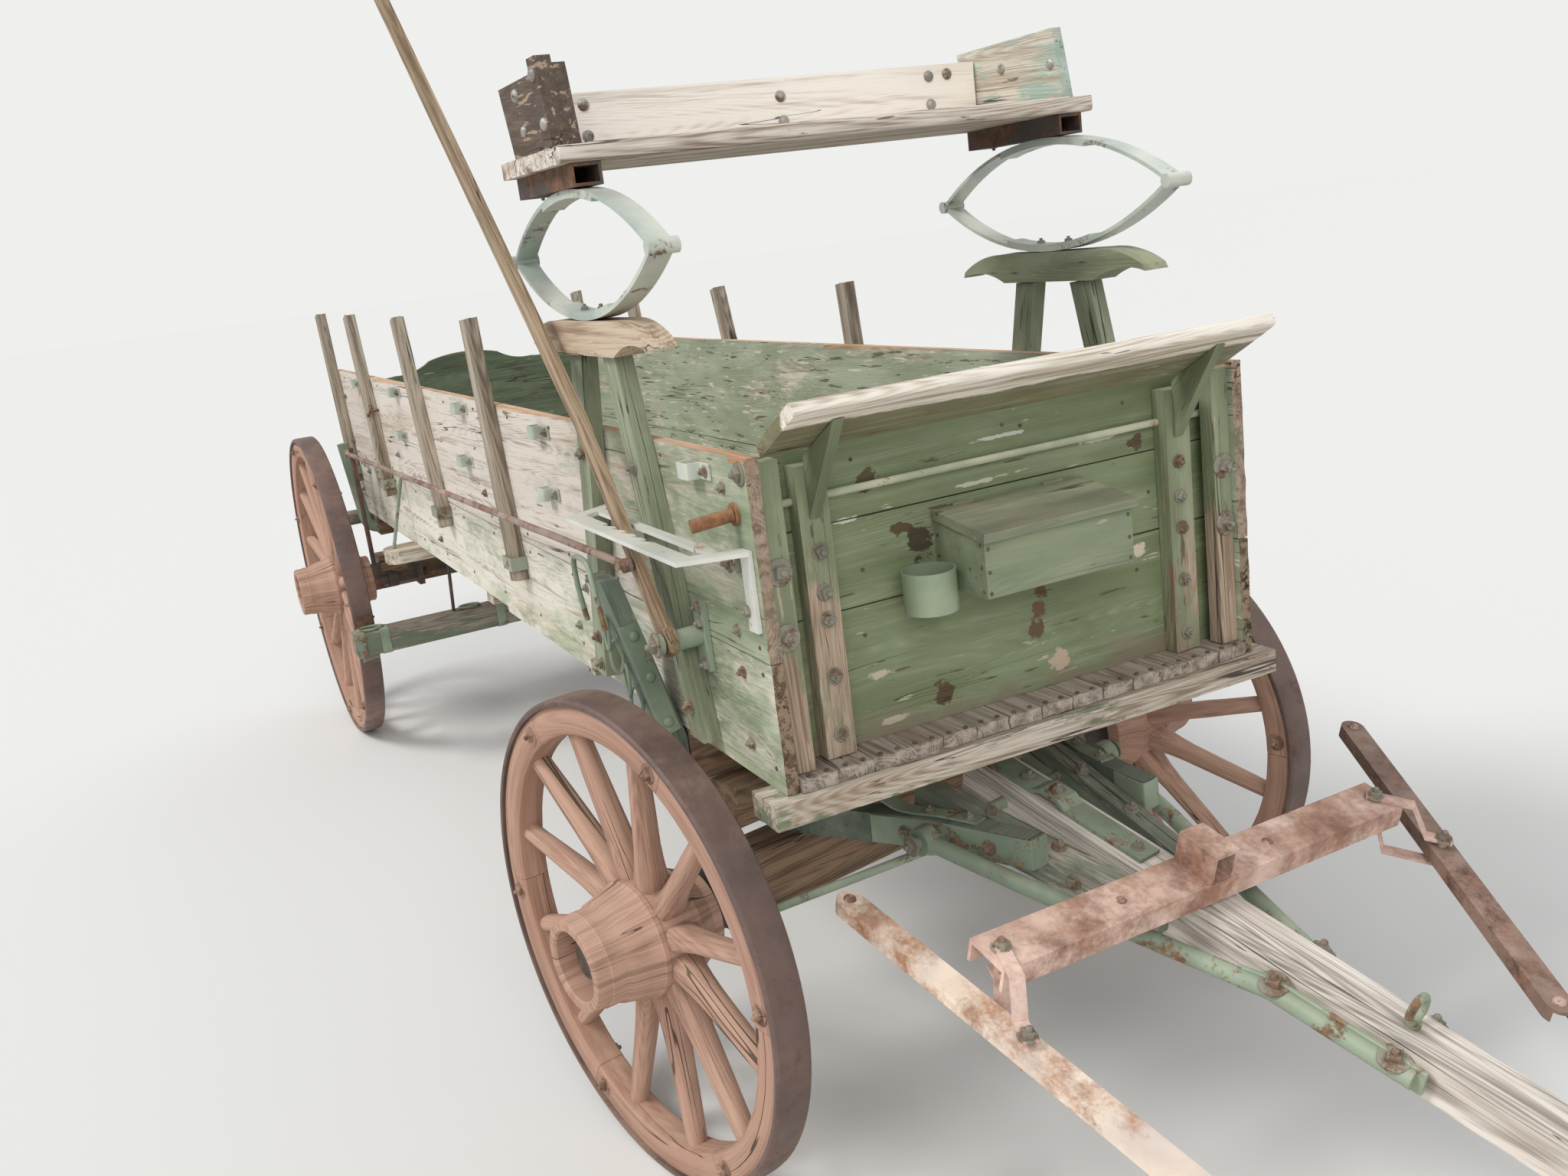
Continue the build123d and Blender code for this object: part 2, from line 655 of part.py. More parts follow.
with BuildPart() as front_axle:
    axle(FORE, 0, FRONT_R)
    rod(FORE, (0, 0, FRONT_R - AXLE_UNDER - 1), (0, 0, FRONT_R + AXLE_OVER + 1), 12.1, Mode.SUBTRACT)
save(front_axle, "front_axle")

# Rear bolster on the hounds, with a bent iron stake at each end
REAR_BOLSTER_LOW = 787.0
rear_hound_low = REAR_R + AXLE_OVER
with BuildPart() as rear_bolster:
    block(BED, (-WHEELBASE - 50, -WHEELBASE + 50), (-BOLSTER_HALF, BOLSTER_HALF), (REAR_BOLSTER_LOW, SILL_TOP))
    for s in (-1, 1):
        route = (
            (s * (BOLSTER_HALF - 40), REAR_BOLSTER_LOW + 38),
            (s * (half_w + 44), REAR_BOLSTER_LOW + 38),
            (s * 612, 1182),
        )
        plane = inside(BED, (-WHEELBASE + 50, 0, 0), (0, 1, 0), (1, 0, 0))
        with BuildLine(plane) as bend:
            FilletPolyline(*route, radius=50)
        with BuildSketch(Plane(origin=bend.line @ 0, z_dir=bend.line % 0)):
            Circle(22)
        sweep(path=bend.line)
save(rear_bolster, "rear_bolster")

with BuildPart() as rear_hounds:
    for s in (-1, 1):
        mid = (rear_hound_low + REAR_BOLSTER_LOW) / 2
        bar(
            BED,
            (-WHEELBASE - 120, s * 250, mid),
            (-WHEELBASE + 1000, s * 68, mid),
            60,
            REAR_BOLSTER_LOW - rear_hound_low,
            (0, 1, 0),
        )
save(rear_hounds, "rear_hounds")

# Front hounds: bent timbers over the axle that carry the tongue's pin, with a slider behind
HOUND_LOW = FRONT_R + AXLE_OVER
HOUND_H = 65.0
HOUND_OUTER = ((-430.0, 360.0), (0.0, 375.0), (330.0, 232.0), (535.0, 184.0))
HOUND_INNER = ((535.0, 144.0), (330.0, 178.0), (0.0, 318.0), (-430.0, 300.0))
with BuildPart() as front_hounds:
    for s in (-1, 1):
        points = [(u, s * v) for u, v in HOUND_OUTER + HOUND_INNER + HOUND_OUTER[:1]]
        with BuildSketch(inside(FORE, (0, 0, HOUND_LOW))):
            with BuildLine():
                Polyline(*points)
            make_face()
        extrude(amount=HOUND_H)
    block(FORE, (-445, -385), (-370, 370), (HOUND_LOW - 48, HOUND_LOW))
    rod(FORE, (PIN_X, -420, TONGUE_PIN_Z), (PIN_X, 420, TONGUE_PIN_Z), 12.1, Mode.SUBTRACT)
save(front_hounds, "front_hounds")

# Rods that stay the axle's underside from the hounds
STAY_R = 9.0
with BuildPart() as front_stays:
    for s in (-1, 1):
        foot = (AXLE_W / 2 + STAY_R, s * 470, FRONT_R - AXLE_UNDER + 8)
        rod(FORE, (300, s * 222, HOUND_LOW - STAY_R), foot, STAY_R)
        rod(FORE, (300, s * 222, HOUND_LOW - 2 * STAY_R), (300, s * 222, HOUND_LOW), 14)
        rod(FORE, (AXLE_W / 2, foot[1], foot[2]), (AXLE_W / 2 + 2 * STAY_R, foot[1], foot[2]), 14)
save(front_stays, "front_stays")

SAND_TOP = BOLSTER_LOW - GAP
with BuildPart() as sand_board:
    block(FORE, (-45, 45), (-500, 500), (HOUND_LOW + HOUND_H, SAND_TOP))
    rod(FORE, (0, 0, HOUND_LOW), (0, 0, SAND_TOP + 1), 12.1, Mode.SUBTRACT)
save(sand_board, "sand_board")

# Tongue: a tapered pole, two timber futchels, two pipe braces on the hinge rod, and a strap
# and a ring on the pole
with BuildPart() as tongue_pole:
    with BuildSketch(inside(TONGUE, (-POLE_TAIL, 0, POLE_TOP - POLE_H / 2), (0, 1, 0), (1, 0, 0))):
        Rectangle(POLE_W, POLE_H)
    with BuildSketch(inside(TONGUE, (EVENER_AT + 60, 0, POLE_TOP - POLE_H / 2), (0, 1, 0), (1, 0, 0))):
        Rectangle(POLE_W, POLE_H)
    loft()
    with BuildSketch(inside(TONGUE, (EVENER_AT + 60, 0, POLE_TOP - POLE_H / 2), (0, 1, 0), (1, 0, 0))):
        Rectangle(POLE_W, POLE_H)
    with BuildSketch(inside(TONGUE, (POLE_L, 0, POLE_TOP - POLE_TIP_H / 2), (0, 1, 0), (1, 0, 0))):
        Rectangle(POLE_TIP_W, POLE_TIP_H)
    loft()
    rod(TONGUE, (0, -60, 0), (0, 60, 0), 12, Mode.SUBTRACT)
    rod(TONGUE, (EVENER_AT, 0, -90), (EVENER_AT, 0, POLE_TOP + 5), PIN_R, Mode.SUBTRACT)
save(tongue_pole, "tongue_pole")

FUTCHEL_BACK = (-118.0, 164.0)
FUTCHEL_FRONT = (430.0, 71.0)
with BuildPart() as tongue_futchels:
    for s in (-1, 1):
        start = (FUTCHEL_BACK[0], s * FUTCHEL_BACK[1], 0)
        end = (FUTCHEL_FRONT[0], s * FUTCHEL_FRONT[1], 0)
        bar(TONGUE, start, end, 50, 74, (0, 1, 0))
    rod(TONGUE, (0, -260, 0), (0, 260, 0), 12, Mode.SUBTRACT)
save(tongue_futchels, "tongue_futchels")

PIPE_R = 17.0
RING_AT = 862.0
RING_R = 24.0
PIPE_ROUTE = ((0.0, 266.0), (215.0, 208.0), (330.0, 172.0), (650.0, 70.0), (910.0, 60.0))
with BuildPart() as tongue_pipes:
    for s in (-1, 1):
        for (t0, v0), (t1, v1) in zip(PIPE_ROUTE, PIPE_ROUTE[1:]):
            rod(TONGUE, (t0, s * v0, 0), (t1, s * v1, 0), PIPE_R)
        for t, v in PIPE_ROUTE[1:-1]:
            with Locations(TONGUE.location * Location((t, s * v, 0))):
                Sphere(PIPE_R)
        rod(TONGUE, (0, s * 250, 0), (0, s * 282, 0), 28)
    rod(TONGUE, (0, -300, 0), (0, 300, 0), 12)
    strip(
        side_plane(TONGUE, 0),
        ((-90, POLE_TOP + 4), (50, POLE_TOP + 4), (72, POLE_TOP + 16), (118, POLE_TOP + 16), (140, POLE_TOP + 4), (330, POLE_TOP + 4)),
        8,
        56,
    )
    with Locations(TONGUE.location * Location((RING_AT, 0, POLE_TOP + RING_R + 9), (0, 90, 25))):
        Torus(RING_R, 7)
    rod(TONGUE, (RING_AT, 0, POLE_TOP), (RING_AT, 0, POLE_TOP + 8), 13)
save(tongue_pipes, "tongue_pipes")

# Doubletree: a pressed channel across the tongue, with a staple over its middle pin
with BuildPart() as doubletree:
    block(EVENER, (-EVENER_W / 2, EVENER_W / 2), (-EVENER_L / 2, EVENER_L / 2), (0, EVENER_H))
    block(
        EVENER,
        (-EVENER_W / 2 + 7, EVENER_W / 2 - 7),
        (-EVENER_L / 2 - 1, EVENER_L / 2 + 1),
        (-1, EVENER_H - 7),
        Mode.SUBTRACT,
    )
    rod(EVENER, (0, 0, -(EVENER_Z - POLE_TOP) - 80), (0, 0, EVENER_H + 24), PIN_R - 0.1)
    for s in (-1, 1):
        rod(EVENER, (0, s * EVENER_EYE, -5), (0, s * EVENER_EYE, EVENER_H + 5), PIN_R, Mode.SUBTRACT)
        block(EVENER, (-44, 44), (s * 26 - 4, s * 26 + 4), (EVENER_H, EVENER_H + 60))
    block(EVENER, (-44, 44), (-30, 30), (EVENER_H + 52, EVENER_H + 60))
save(doubletree, "doubletree")

# Straps: a plate above and one below each doubletree end, cranked down to the singletree
STRAP_DROP = 62.0


def strap(frame):
    """Two cranked plates and the pins at their ends."""
    for top, bend, end in ((EVENER_H + 1 + STRAP_T / 2, 72, 108), (-1 - STRAP_T / 2, 16, 40)):
        low = top - STRAP_DROP
        points = ((-16, top), (bend, top), (end, low), (STRAP_L + 16, low))
        strip(side_plane(frame, 0), points, STRAP_T, STRAP_W)
    rod(frame, (0, 0, -1 - STRAP_T), (0, 0, EVENER_H + 12), PIN_R - 0.1)
    rod(frame, (STRAP_L, 0, -STRAP_DROP - STRAP_T - 6), (STRAP_L, 0, EVENER_H - STRAP_DROP + 12), PIN_R - 0.1)


def singletree(frame):
    """A channel bar with rounded ends and a hole at its middle."""
    low = EVENER_H / 2 - STRAP_DROP - SINGLE_H / 2
    with BuildSketch(inside(frame, (0, 0, low))) as outline:
        SlotOverall(SINGLE_L, SINGLE_W)
    extrude(outline.sketch, amount=SINGLE_H)
    half = SINGLE_L / 2
    block(frame, (-half - 1, half + 1), (-SINGLE_W / 2 + 7, SINGLE_W / 2 - 7), (low - 1, low + SINGLE_H - 7), Mode.SUBTRACT)
    rod(frame, (0, 0, low - 1), (0, 0, low + SINGLE_H + 1), PIN_R, Mode.SUBTRACT)


with BuildPart() as strap_right:
    strap(STRAP_RIGHT)
save(strap_right, "strap_right")

with BuildPart() as strap_left:
    strap(STRAP_LEFT)
save(strap_left, "strap_left")

with BuildPart() as singletree_right:
    singletree(SINGLE_RIGHT)
save(singletree_right, "singletree_right")

with BuildPart() as singletree_left:
    singletree(SINGLE_LEFT)
save(singletree_left, "singletree_left")

# Brake lever on a boss, in the slot between a notched bar and a guide
with BuildPart() as lever_bracket:
    block(BED, (PIVOT_X - 16, PIVOT_X + 32), (-half_w - 10, -half_w), (PIVOT_Z - 66, PIVOT_Z + 70))
    rod(BED, (PIVOT_X, -half_w, PIVOT_Z), (PIVOT_X, LEVER_Y + LEVER_T / 2 + 2, PIVOT_Z), 20)
    rod(BED, (PIVOT_X, LEVER_Y, PIVOT_Z), (PIVOT_X, LEVER_Y - LEVER_T / 2 - 3, PIVOT_Z), 11.9)
    rod(BED, (PIVOT_X, LEVER_Y + LEVER_T, PIVOT_Z), (PIVOT_X, LEVER_Y, PIVOT_Z), 11.9)
    rod(BED, (PIVOT_X, LEVER_Y - LEVER_T / 2 - 3, PIVOT_Z), (PIVOT_X, LEVER_Y - LEVER_T / 2 - 16, PIVOT_Z), 20)
save(lever_bracket, "lever_bracket")

lean = radians(LEVER_LEAN)
KNEE = (PIVOT_X - 105, PIVOT_Z + 135)
lever_top = (PIVOT_X - LEVER_L * sin(lean) + 60, PIVOT_Z + LEVER_L * cos(lean))
LEVER_BEND = 0.2
LEVER_OUT = 75.0
bend_x = KNEE[0] + (lever_top[0] - KNEE[0]) * LEVER_BEND
bend_z = KNEE[1] + (lever_top[1] - KNEE[1]) * LEVER_BEND
with BuildPart() as brake_lever:
    with BuildSketch(side_plane(BED, LEVER_Y)):
        with BuildLine():
            Polyline((PIVOT_X, PIVOT_Z), KNEE, (bend_x, bend_z))
        trace(line_width=40)
        with Locations((PIVOT_X, PIVOT_Z)):
            Circle(30)
        with Locations((PIVOT_X, PIVOT_Z)):
            Circle(12, mode=Mode.SUBTRACT)
    extrude(amount=LEVER_T / 2, both=True)
    upper = Vector(lever_top[0] - bend_x, 0, lever_top[1] - bend_z).normalized()
    bar(
        BED,
        (bend_x - 6 * upper.X, LEVER_Y, bend_z - 6 * upper.Z),
        (lever_top[0], LEVER_Y - LEVER_OUT, lever_top[1]),
        40,
        LEVER_T,
        (upper.Z, 0, -upper.X),
    )
    rod(BED, (KNEE[0], LEVER_Y, KNEE[1]), (KNEE[0], LEVER_Y - 42, KNEE[1]), 7)
save(brake_lever, "brake_lever")

rod_y = LEVER_Y - LEVER_T / 2 - 5 - ROD_R
EYE_R = 14.0
arm_top_z = ROCKER_Z + ARM_L
with BuildPart() as brake_rod:
    rod(BED, (KNEE[0], rod_y, KNEE[1]), (ROCKER_X, rod_y, arm_top_z), ROD_R)
    for x, z in (KNEE, (ROCKER_X, arm_top_z)):
        rod(BED, (x, rod_y - ROD_R, z), (x, rod_y + ROD_R, z), EYE_R)
        rod(BED, (x, rod_y - ROD_R - 1, z), (x, rod_y + ROD_R + 1, z), 7.1, Mode.SUBTRACT)
save(brake_rod, "brake_rod")

arm_y = rod_y + ROD_R + 11
with BuildPart() as rocker_shaft:
    rod(BED, (ROCKER_X, arm_y - 6, ROCKER_Z), (ROCKER_X, -150, ROCKER_Z), 19)
    rod(BED, (ROCKER_X, -565, ROCKER_Z), (ROCKER_X, -530, ROCKER_Z), 32)
    bar(BED, (ROCKER_X, arm_y, ROCKER_Z - 25), (ROCKER_X, arm_y, arm_top_z + 18), 44, 12, (1, 0, 0))
save(rocker_shaft, "rocker_shaft")

with BuildPart() as rocker_hangers:
    front_face = -WHEELBASE + AXLE_W / 2
    block(BED, (front_face, ROCKER_X + 40), (-452, -430), (ROCKER_Z - 40, ROCKER_Z + 50))
    block(BED, (ROCKER_X - 32, ROCKER_X + 32), (-222, -200), (ROCKER_Z - 40, rear_hound_low))
    rod(BED, (ROCKER_X, -480, ROCKER_Z), (ROCKER_X, -180, ROCKER_Z), 19.1, Mode.SUBTRACT)
save(rocker_hangers, "rocker_hangers")

# Ratchet: a notched flat bar bowed out from the box, and an inner guide
RATCHET_Z = 1290.0
RATCHET_T = 8.0
bar_in = LEVER_Y - LEVER_T / 2 - 5
BAR_W = 36.0
with BuildPart() as brake_ratchet:
    with BuildSketch(inside(BED, (0, 0, RATCHET_Z))):
        with BuildLine():
            mid_y = bar_in - BAR_W / 2
            Polyline(
                (BOX_FRONT - 34, -half_w),
                (BOX_FRONT - 70, mid_y),
                (-120, mid_y),
                (-175, -half_w),
            )
        trace(line_width=BAR_W)
        for i in range(5):
            x = 20 + i * 52
            with BuildLine():
                Polyline((x, bar_in + 0.5), (x + 6, bar_in - 13), (x + 40, bar_in + 0.5), (x, bar_in + 0.5))
            make_face(mode=Mode.SUBTRACT)
    extrude(amount=RATCHET_T)
    block(BED, (-150, BOX_FRONT - 60), (-half_w - 56, -half_w - POST_T - 1), (RATCHET_Z, RATCHET_Z + RATCHET_T))
    block(BED, (BOX_FRONT - 52, BOX_FRONT - 18), (-half_w - 8, -half_w), (RATCHET_Z - 135, RATCHET_Z + RATCHET_T))
    block(BED, (BOX_REAR, BOX_FRONT), (-half_w, half_w), (RATCHET_Z - 200, RATCHET_Z + 60), Mode.SUBTRACT)
save(brake_ratchet, "brake_ratchet")

# Brake beam hung on chains in front of the rear wheels, with a shoe at each end
BEAM_Z = 510.0
BEAM_W = 70.0
BEAM_H = 90.0
BEAM_HALF = 800.0
SHOE_GAP = 8.0
SHOE_DEPTH = 21.6
tyre_front = -WHEELBASE + sqrt(REAR_R**2 - (REAR_R - BEAM_Z) ** 2)
BEAM_X = tyre_front + SHOE_DEPTH + BEAM_W / 2
CHAIN_Y = 420.0
with BuildPart() as brake_beam:
    block(BED, (BEAM_X - BEAM_W / 2, BEAM_X + BEAM_W / 2), (-BEAM_HALF, BEAM_HALF), (BEAM_Z - BEAM_H / 2, BEAM_Z + BEAM_H / 2))
    for s in (-1, 1):
        y = s * TRACK / 2
        block(BED, (tyre_front, BEAM_X - BEAM_W / 2), (y - 30, y + 30), (BEAM_Z - 90, BEAM_Z + 90))
        rod(BED, (BEAM_X, s * CHAIN_Y, BEAM_Z + BEAM_H / 2 - 10), (SILLS[3][0] - 60, s * CHAIN_Y, SILL_TOP - SILL_H), 7)
    block(BED, (BEAM_X, SILLS[3][0]), (-500, 500), (SILL_TOP - SILL_H, SILL_TOP), Mode.SUBTRACT)
    for s in (-1, 1):
        low_y = s * (TRACK / 2 - 40)
        high_y = s * (TRACK / 2 + 40)
        rod(BED, (-WHEELBASE, low_y, REAR_R), (-WHEELBASE, high_y, REAR_R), REAR_R + SHOE_GAP, Mode.SUBTRACT)
save(brake_beam, "brake_beam")


# Spokes: place along the spoke, half width and half depth of each section
SPOKE_SECTIONS = (
    (0.0, 25.0, 33.0),
    (0.3, 21.0, 28.0),
    (1.0, 18.0, 20.0),
)
SPOKE_SIDES = 12


def oval(wide, deep):
    """The corners of a section that is shaved to an oval with flat sides."""
    turn = 2 * pi / SPOKE_SIDES
    return [(wide * cos(turn * (k + 0.5)), deep * sin(turn * (k + 0.5))) for k in range(SPOKE_SIDES)]


# Wheels: a turned nave, tapered oval spokes leaning out to the felloes, and an iron tyre
def wheel(frame, x, side, radius, spokes, name):
    """One wheel in a frame with its axis along Y; side is -1 on the right and 1 on the left."""
    hub = inside(frame, (x, side * TRACK / 2, radius), (1, 0, 0), (0, side, 0))
    half = NAVE_LENGTH / 2
    rim_in = radius - TYRE_T - FELLOE_H
    rim_out = radius - TYRE_T
    spoke_z = -DISH
    with BuildPart() as body:
        with BuildSketch(inside(hub, (0, 0, 0), (1, 0, 0), (0, 1, 0))):
            with BuildLine():
                Polyline(
                    (NAVE_BORE, half - 62),
                    (NAVE_BORE, -half),
                    (92, -half),
                    (92, -half + 26),
                    (98, -half + 28),
                    (NAVE_R - 6, spoke_z - 50),
                    (NAVE_R, spoke_z - 38),
                    (NAVE_R, spoke_z + 34),
                    (NAVE_R - 6, spoke_z + 48),
                    (100, half - 66),
                    (94, half - 60),
                    (94, half),
                    (70, half),
                    (70, half - 62),
                    (NAVE_BORE, half - 62),
                )
            make_face()
        revolve(axis=Axis(hub.origin, hub.z_dir))
        with BuildSketch(inside(hub, (0, 0, 0), (1, 0, 0), (0, 1, 0))):
            with Locations(((rim_in + rim_out) / 2, 0)):
                Rectangle(FELLOE_H, FELLOE_W)
        revolve(axis=Axis(hub.origin, hub.z_dir))
        for i in range(spokes):
            a = 2 * pi * (i + 0.5) / spokes
            out = Vector(cos(a), sin(a), 0)
            start = out * (NAVE_R - 14) + Vector(0, 0, spoke_z)
            end = out * (rim_in + 12)
            run = end - start
            across = (-sin(a), cos(a), 0)
            for share, wide, deep in SPOKE_SECTIONS:
                with BuildSketch(inside(hub, tuple(start + run * share), across, tuple(run))):
                    Polygon(*oval(wide, deep), align=None)
            loft(ruled=True)
    save(body, f"wheel_{name}")
    with BuildPart() as tyre:
        with BuildSketch(inside(hub, (0, 0, 0), (1, 0, 0), (0, 1, 0))):
            with Locations((radius - TYRE_T / 2, 0)):
                Rectangle(TYRE_T, TYRE_W)
        revolve(axis=Axis(hub.origin, hub.z_dir))
    save(tyre, f"tyre_{name}")


wheel(FORE, 0, -1, FRONT_R, FRONT_SPOKES, "front_right")
wheel(FORE, 0, 1, FRONT_R, FRONT_SPOKES, "front_left")
wheel(BED, -WHEELBASE, -1, REAR_R, REAR_SPOKES, "rear_right")
wheel(BED, -WHEELBASE, 1, REAR_R, REAR_SPOKES, "rear_left")

print("king bolt x", round(KING_X, 1), "tongue pin", TONGUE.origin, "tip u", round(TIP_U, 1))
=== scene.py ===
import json
from math import cos, pi, radians, sin

import bmesh
import bpy
import numpy as np
from mathutils import Matrix, Vector, noise


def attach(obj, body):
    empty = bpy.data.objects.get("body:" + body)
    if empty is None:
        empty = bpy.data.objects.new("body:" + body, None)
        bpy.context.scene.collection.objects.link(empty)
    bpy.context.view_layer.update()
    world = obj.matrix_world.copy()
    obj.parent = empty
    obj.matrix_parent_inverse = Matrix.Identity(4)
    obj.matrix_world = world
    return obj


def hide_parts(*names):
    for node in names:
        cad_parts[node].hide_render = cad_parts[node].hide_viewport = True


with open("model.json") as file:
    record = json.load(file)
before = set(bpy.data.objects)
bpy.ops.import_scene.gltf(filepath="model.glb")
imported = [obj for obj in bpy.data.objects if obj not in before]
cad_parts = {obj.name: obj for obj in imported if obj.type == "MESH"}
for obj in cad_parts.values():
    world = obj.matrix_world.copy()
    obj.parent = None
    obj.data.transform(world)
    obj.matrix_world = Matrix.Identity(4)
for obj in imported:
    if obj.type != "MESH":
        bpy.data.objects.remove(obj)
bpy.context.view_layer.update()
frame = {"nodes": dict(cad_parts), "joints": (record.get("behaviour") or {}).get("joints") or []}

# The room: a pale floor, a pale sky and three soft lamps, the strongest high on the wagon's right,
# one before it and a weak one on its left. The camera stands before the right front wheel, a
# little above the footboard.


class Wire:
    """An output in a node tree. Its sums with numbers and with other wires make math nodes."""

    def __init__(self, socket):
        self.socket = socket
        self.tree = socket.id_data

    def __add__(self, other):
        return maths("ADD", self, other)

    def __sub__(self, other):
        return maths("SUBTRACT", self, other)

    def __rsub__(self, other):
        return maths("SUBTRACT", other, self)

    def __mul__(self, other):
        return maths("MULTIPLY", self, other)

    def __gt__(self, other):
        return maths("GREATER_THAN", self, other)

    def __abs__(self):
        return maths("ABSOLUTE", self)


def feed(node, inputs):
    """Give a node's sockets their values, or link wires to them."""
    for key, value in inputs.items():
        if isinstance(value, Wire):
            value.tree.links.new(value.socket, node.inputs[key])
        else:
            node.inputs[key].default_value = value


def put(tree, kind, inputs=None, out=0, **settings):
    """Add a node, set it, feed it, and take one of its outputs."""
    node = tree.nodes.new(kind)
    for key, value in settings.items():
        setattr(node, key, value)
    feed(node, inputs or {})
    return Wire(node.outputs[out])


def seen(look):
    """A colour from the way it looks, with two hex digits each for red, green and blue."""
    return (*(((value / 255 + 0.055) / 1.055) ** 2.4 for value in bytes.fromhex(look)), 1.0)


def stand(name, data):
    """Put an object with this data in the scene."""
    made = bpy.data.objects.new(name, data)
    bpy.context.scene.collection.objects.link(made)
    return made


def new_material(name):
    """A material, its tree and its shader."""
    made = bpy.data.materials.new(name)
    made.use_nodes = True
    return made, made.node_tree, made.node_tree.nodes["Principled BSDF"]


PICTURE_WIDTH, FOCAL_LENGTH, SENSOR = 2048, 1824, 36
camera = stand("camera", bpy.data.cameras.new("camera"))
camera.data.lens = FOCAL_LENGTH / PICTURE_WIDTH * SENSOR
camera.data.sensor_width = SENSOR
camera.data.clip_end = 200
camera.location = (3.23809, -1.43724, 1.81226)
camera.rotation_euler = (radians(75.3847), radians(7.01255), radians(63.41782))
bpy.context.scene.camera = camera

for name, place, spread, power in (
    ("key light", (-1.5, -6.5, 7.5), 22, 1.9),
    ("front light", (6.5, -2.5, 4.5), 45, 1.3),
    ("far light", (-2.0, 6.5, 5.0), 50, 0.5),
):
    lamp = stand(name, bpy.data.lights.new(name, "SUN"))
    lamp.data.angle = radians(spread)
    lamp.data.energy = power
    lamp.location = place
    lamp.rotation_euler = (-Vector(place)).to_track_quat("-Z", "Y").to_euler()

sky = bpy.data.worlds.new("sky")
bpy.context.scene.world = sky
sky.use_nodes = True
sky.node_tree.nodes.clear()
shown = put(sky.node_tree, "ShaderNodeBackground", {"Color": seen("eff0ee"), "Strength": 1.0})
light = put(sky.node_tree, "ShaderNodeBackground", {"Color": seen("e2e8f0"), "Strength": 0.62})
to_camera = put(sky.node_tree, "ShaderNodeLightPath", out="Is Camera Ray")
mixed_sky = put(sky.node_tree, "ShaderNodeMixShader", {0: to_camera, 1: light, 2: shown})
feed(sky.node_tree.nodes.new("ShaderNodeOutputWorld"), {"Surface": mixed_sky})
bpy.context.scene.view_settings.view_transform = "Standard"

FLOOR = 90
floor_mesh = bpy.data.meshes.new("room_floor")
floor_mesh.from_pydata([(FLOOR * x, FLOOR * y, 0) for x, y in ((-1, -1), (1, -1), (1, 1), (-1, 1))], [],
                       [(0, 1, 2, 3)])
room_floor = stand("room_floor", floor_mesh)
floor_finish, _, shader = new_material("pale floor")
feed(shader, {"Base Color": seen("d9d7d2"), "Roughness": 0.9})
floor_mesh.materials.append(floor_finish)

# Box floor: fourteen narrow planks that run the wagon's length. Their ends stick out before the
# front endgate, where they are grey, split and worn to different lengths.


def maths(operation, a, b=0.0):
    """One math node, for numbers or for vectors. A vector is scaled by a number."""
    tree = (a if isinstance(a, Wire) else b).tree
    if isinstance(b, tuple) or isinstance(b, Wire) and b.socket.type == "VECTOR":
        return put(tree, "ShaderNodeVectorMath", {0: a, 1: b}, operation=operation)
    if isinstance(a, Wire) and a.socket.type == "VECTOR":
        return put(tree, "ShaderNodeVectorMath", {0: a, 3: b}, operation="SCALE")
    return put(tree, "ShaderNodeMath", {0: a, 1: b}, operation=operation)


def start_group(name, **inputs):
    """Start a shader group. An input is a number with this value, or a vector if it is None."""
    tree = bpy.data.node_groups.new(name, "ShaderNodeTree")
    for label, value in inputs.items():
        kind = "NodeSocketVector" if value is None else "NodeSocketFloat"
        socket = tree.interface.new_socket(label, in_out="INPUT", socket_type=kind)
        if value is not None:
            socket.default_value = value
    entry = tree.nodes.new("NodeGroupInput")
    return tree, *(Wire(entry.outputs[label]) for label in inputs)


def end_group(tree, **outputs):
    """Give a shader group its outputs, which are all numbers."""
    for label in outputs:
        tree.interface.new_socket(label, in_out="OUTPUT", socket_type="NodeSocketFloat")
    feed(tree.nodes.new("NodeGroupOutput"), outputs)


def use_group(tree, shader_group, **inputs):
    """Put a shader group in a material and give its outputs by name."""
    node = tree.nodes.new("ShaderNodeGroup")
    node.node_tree = shader_group
    feed(node, inputs)
    return {socket.name: Wire(socket) for socket in node.outputs}


def between(value, low, high, start=0.0, end=1.0):
    """A smooth step of value from low to high."""
    inputs = {"Value": value, 1: low, 2: high, 3: start, 4: end}
    return put(value.tree, "ShaderNodeMapRange", inputs, interpolation_type="SMOOTHSTEP")


def mixed(share, a, b):
    """Colour a turning to colour b as share goes from 0 to 1."""
    return put(share.tree, "ShaderNodeMix", {0: share, 6: a, 7: b}, 2, data_type="RGBA")


def clamped(value):
    """Keep the last sum between 0 and 1."""
    value.socket.node.use_clamp = True
    return value


def part(vector, axis):
    """The x, y or z of a vector."""
    return put(vector.tree, "ShaderNodeSeparateXYZ", {0: vector}, "xyz".index(axis))


def whole(tree):
    """The place in the whole frame."""
    return put(tree, "ShaderNodeTexCoord", out="Object")


def cloud(vector, stretch, detail=3.0, rough=0.55, out="Fac"):
    """Noise whose coordinates are stretched by these scales."""
    inputs = {"Vector": vector * stretch, "Scale": 1.0, "Detail": detail, "Roughness": rough}
    return put(vector.tree, "ShaderNodeTexNoise", inputs, out)


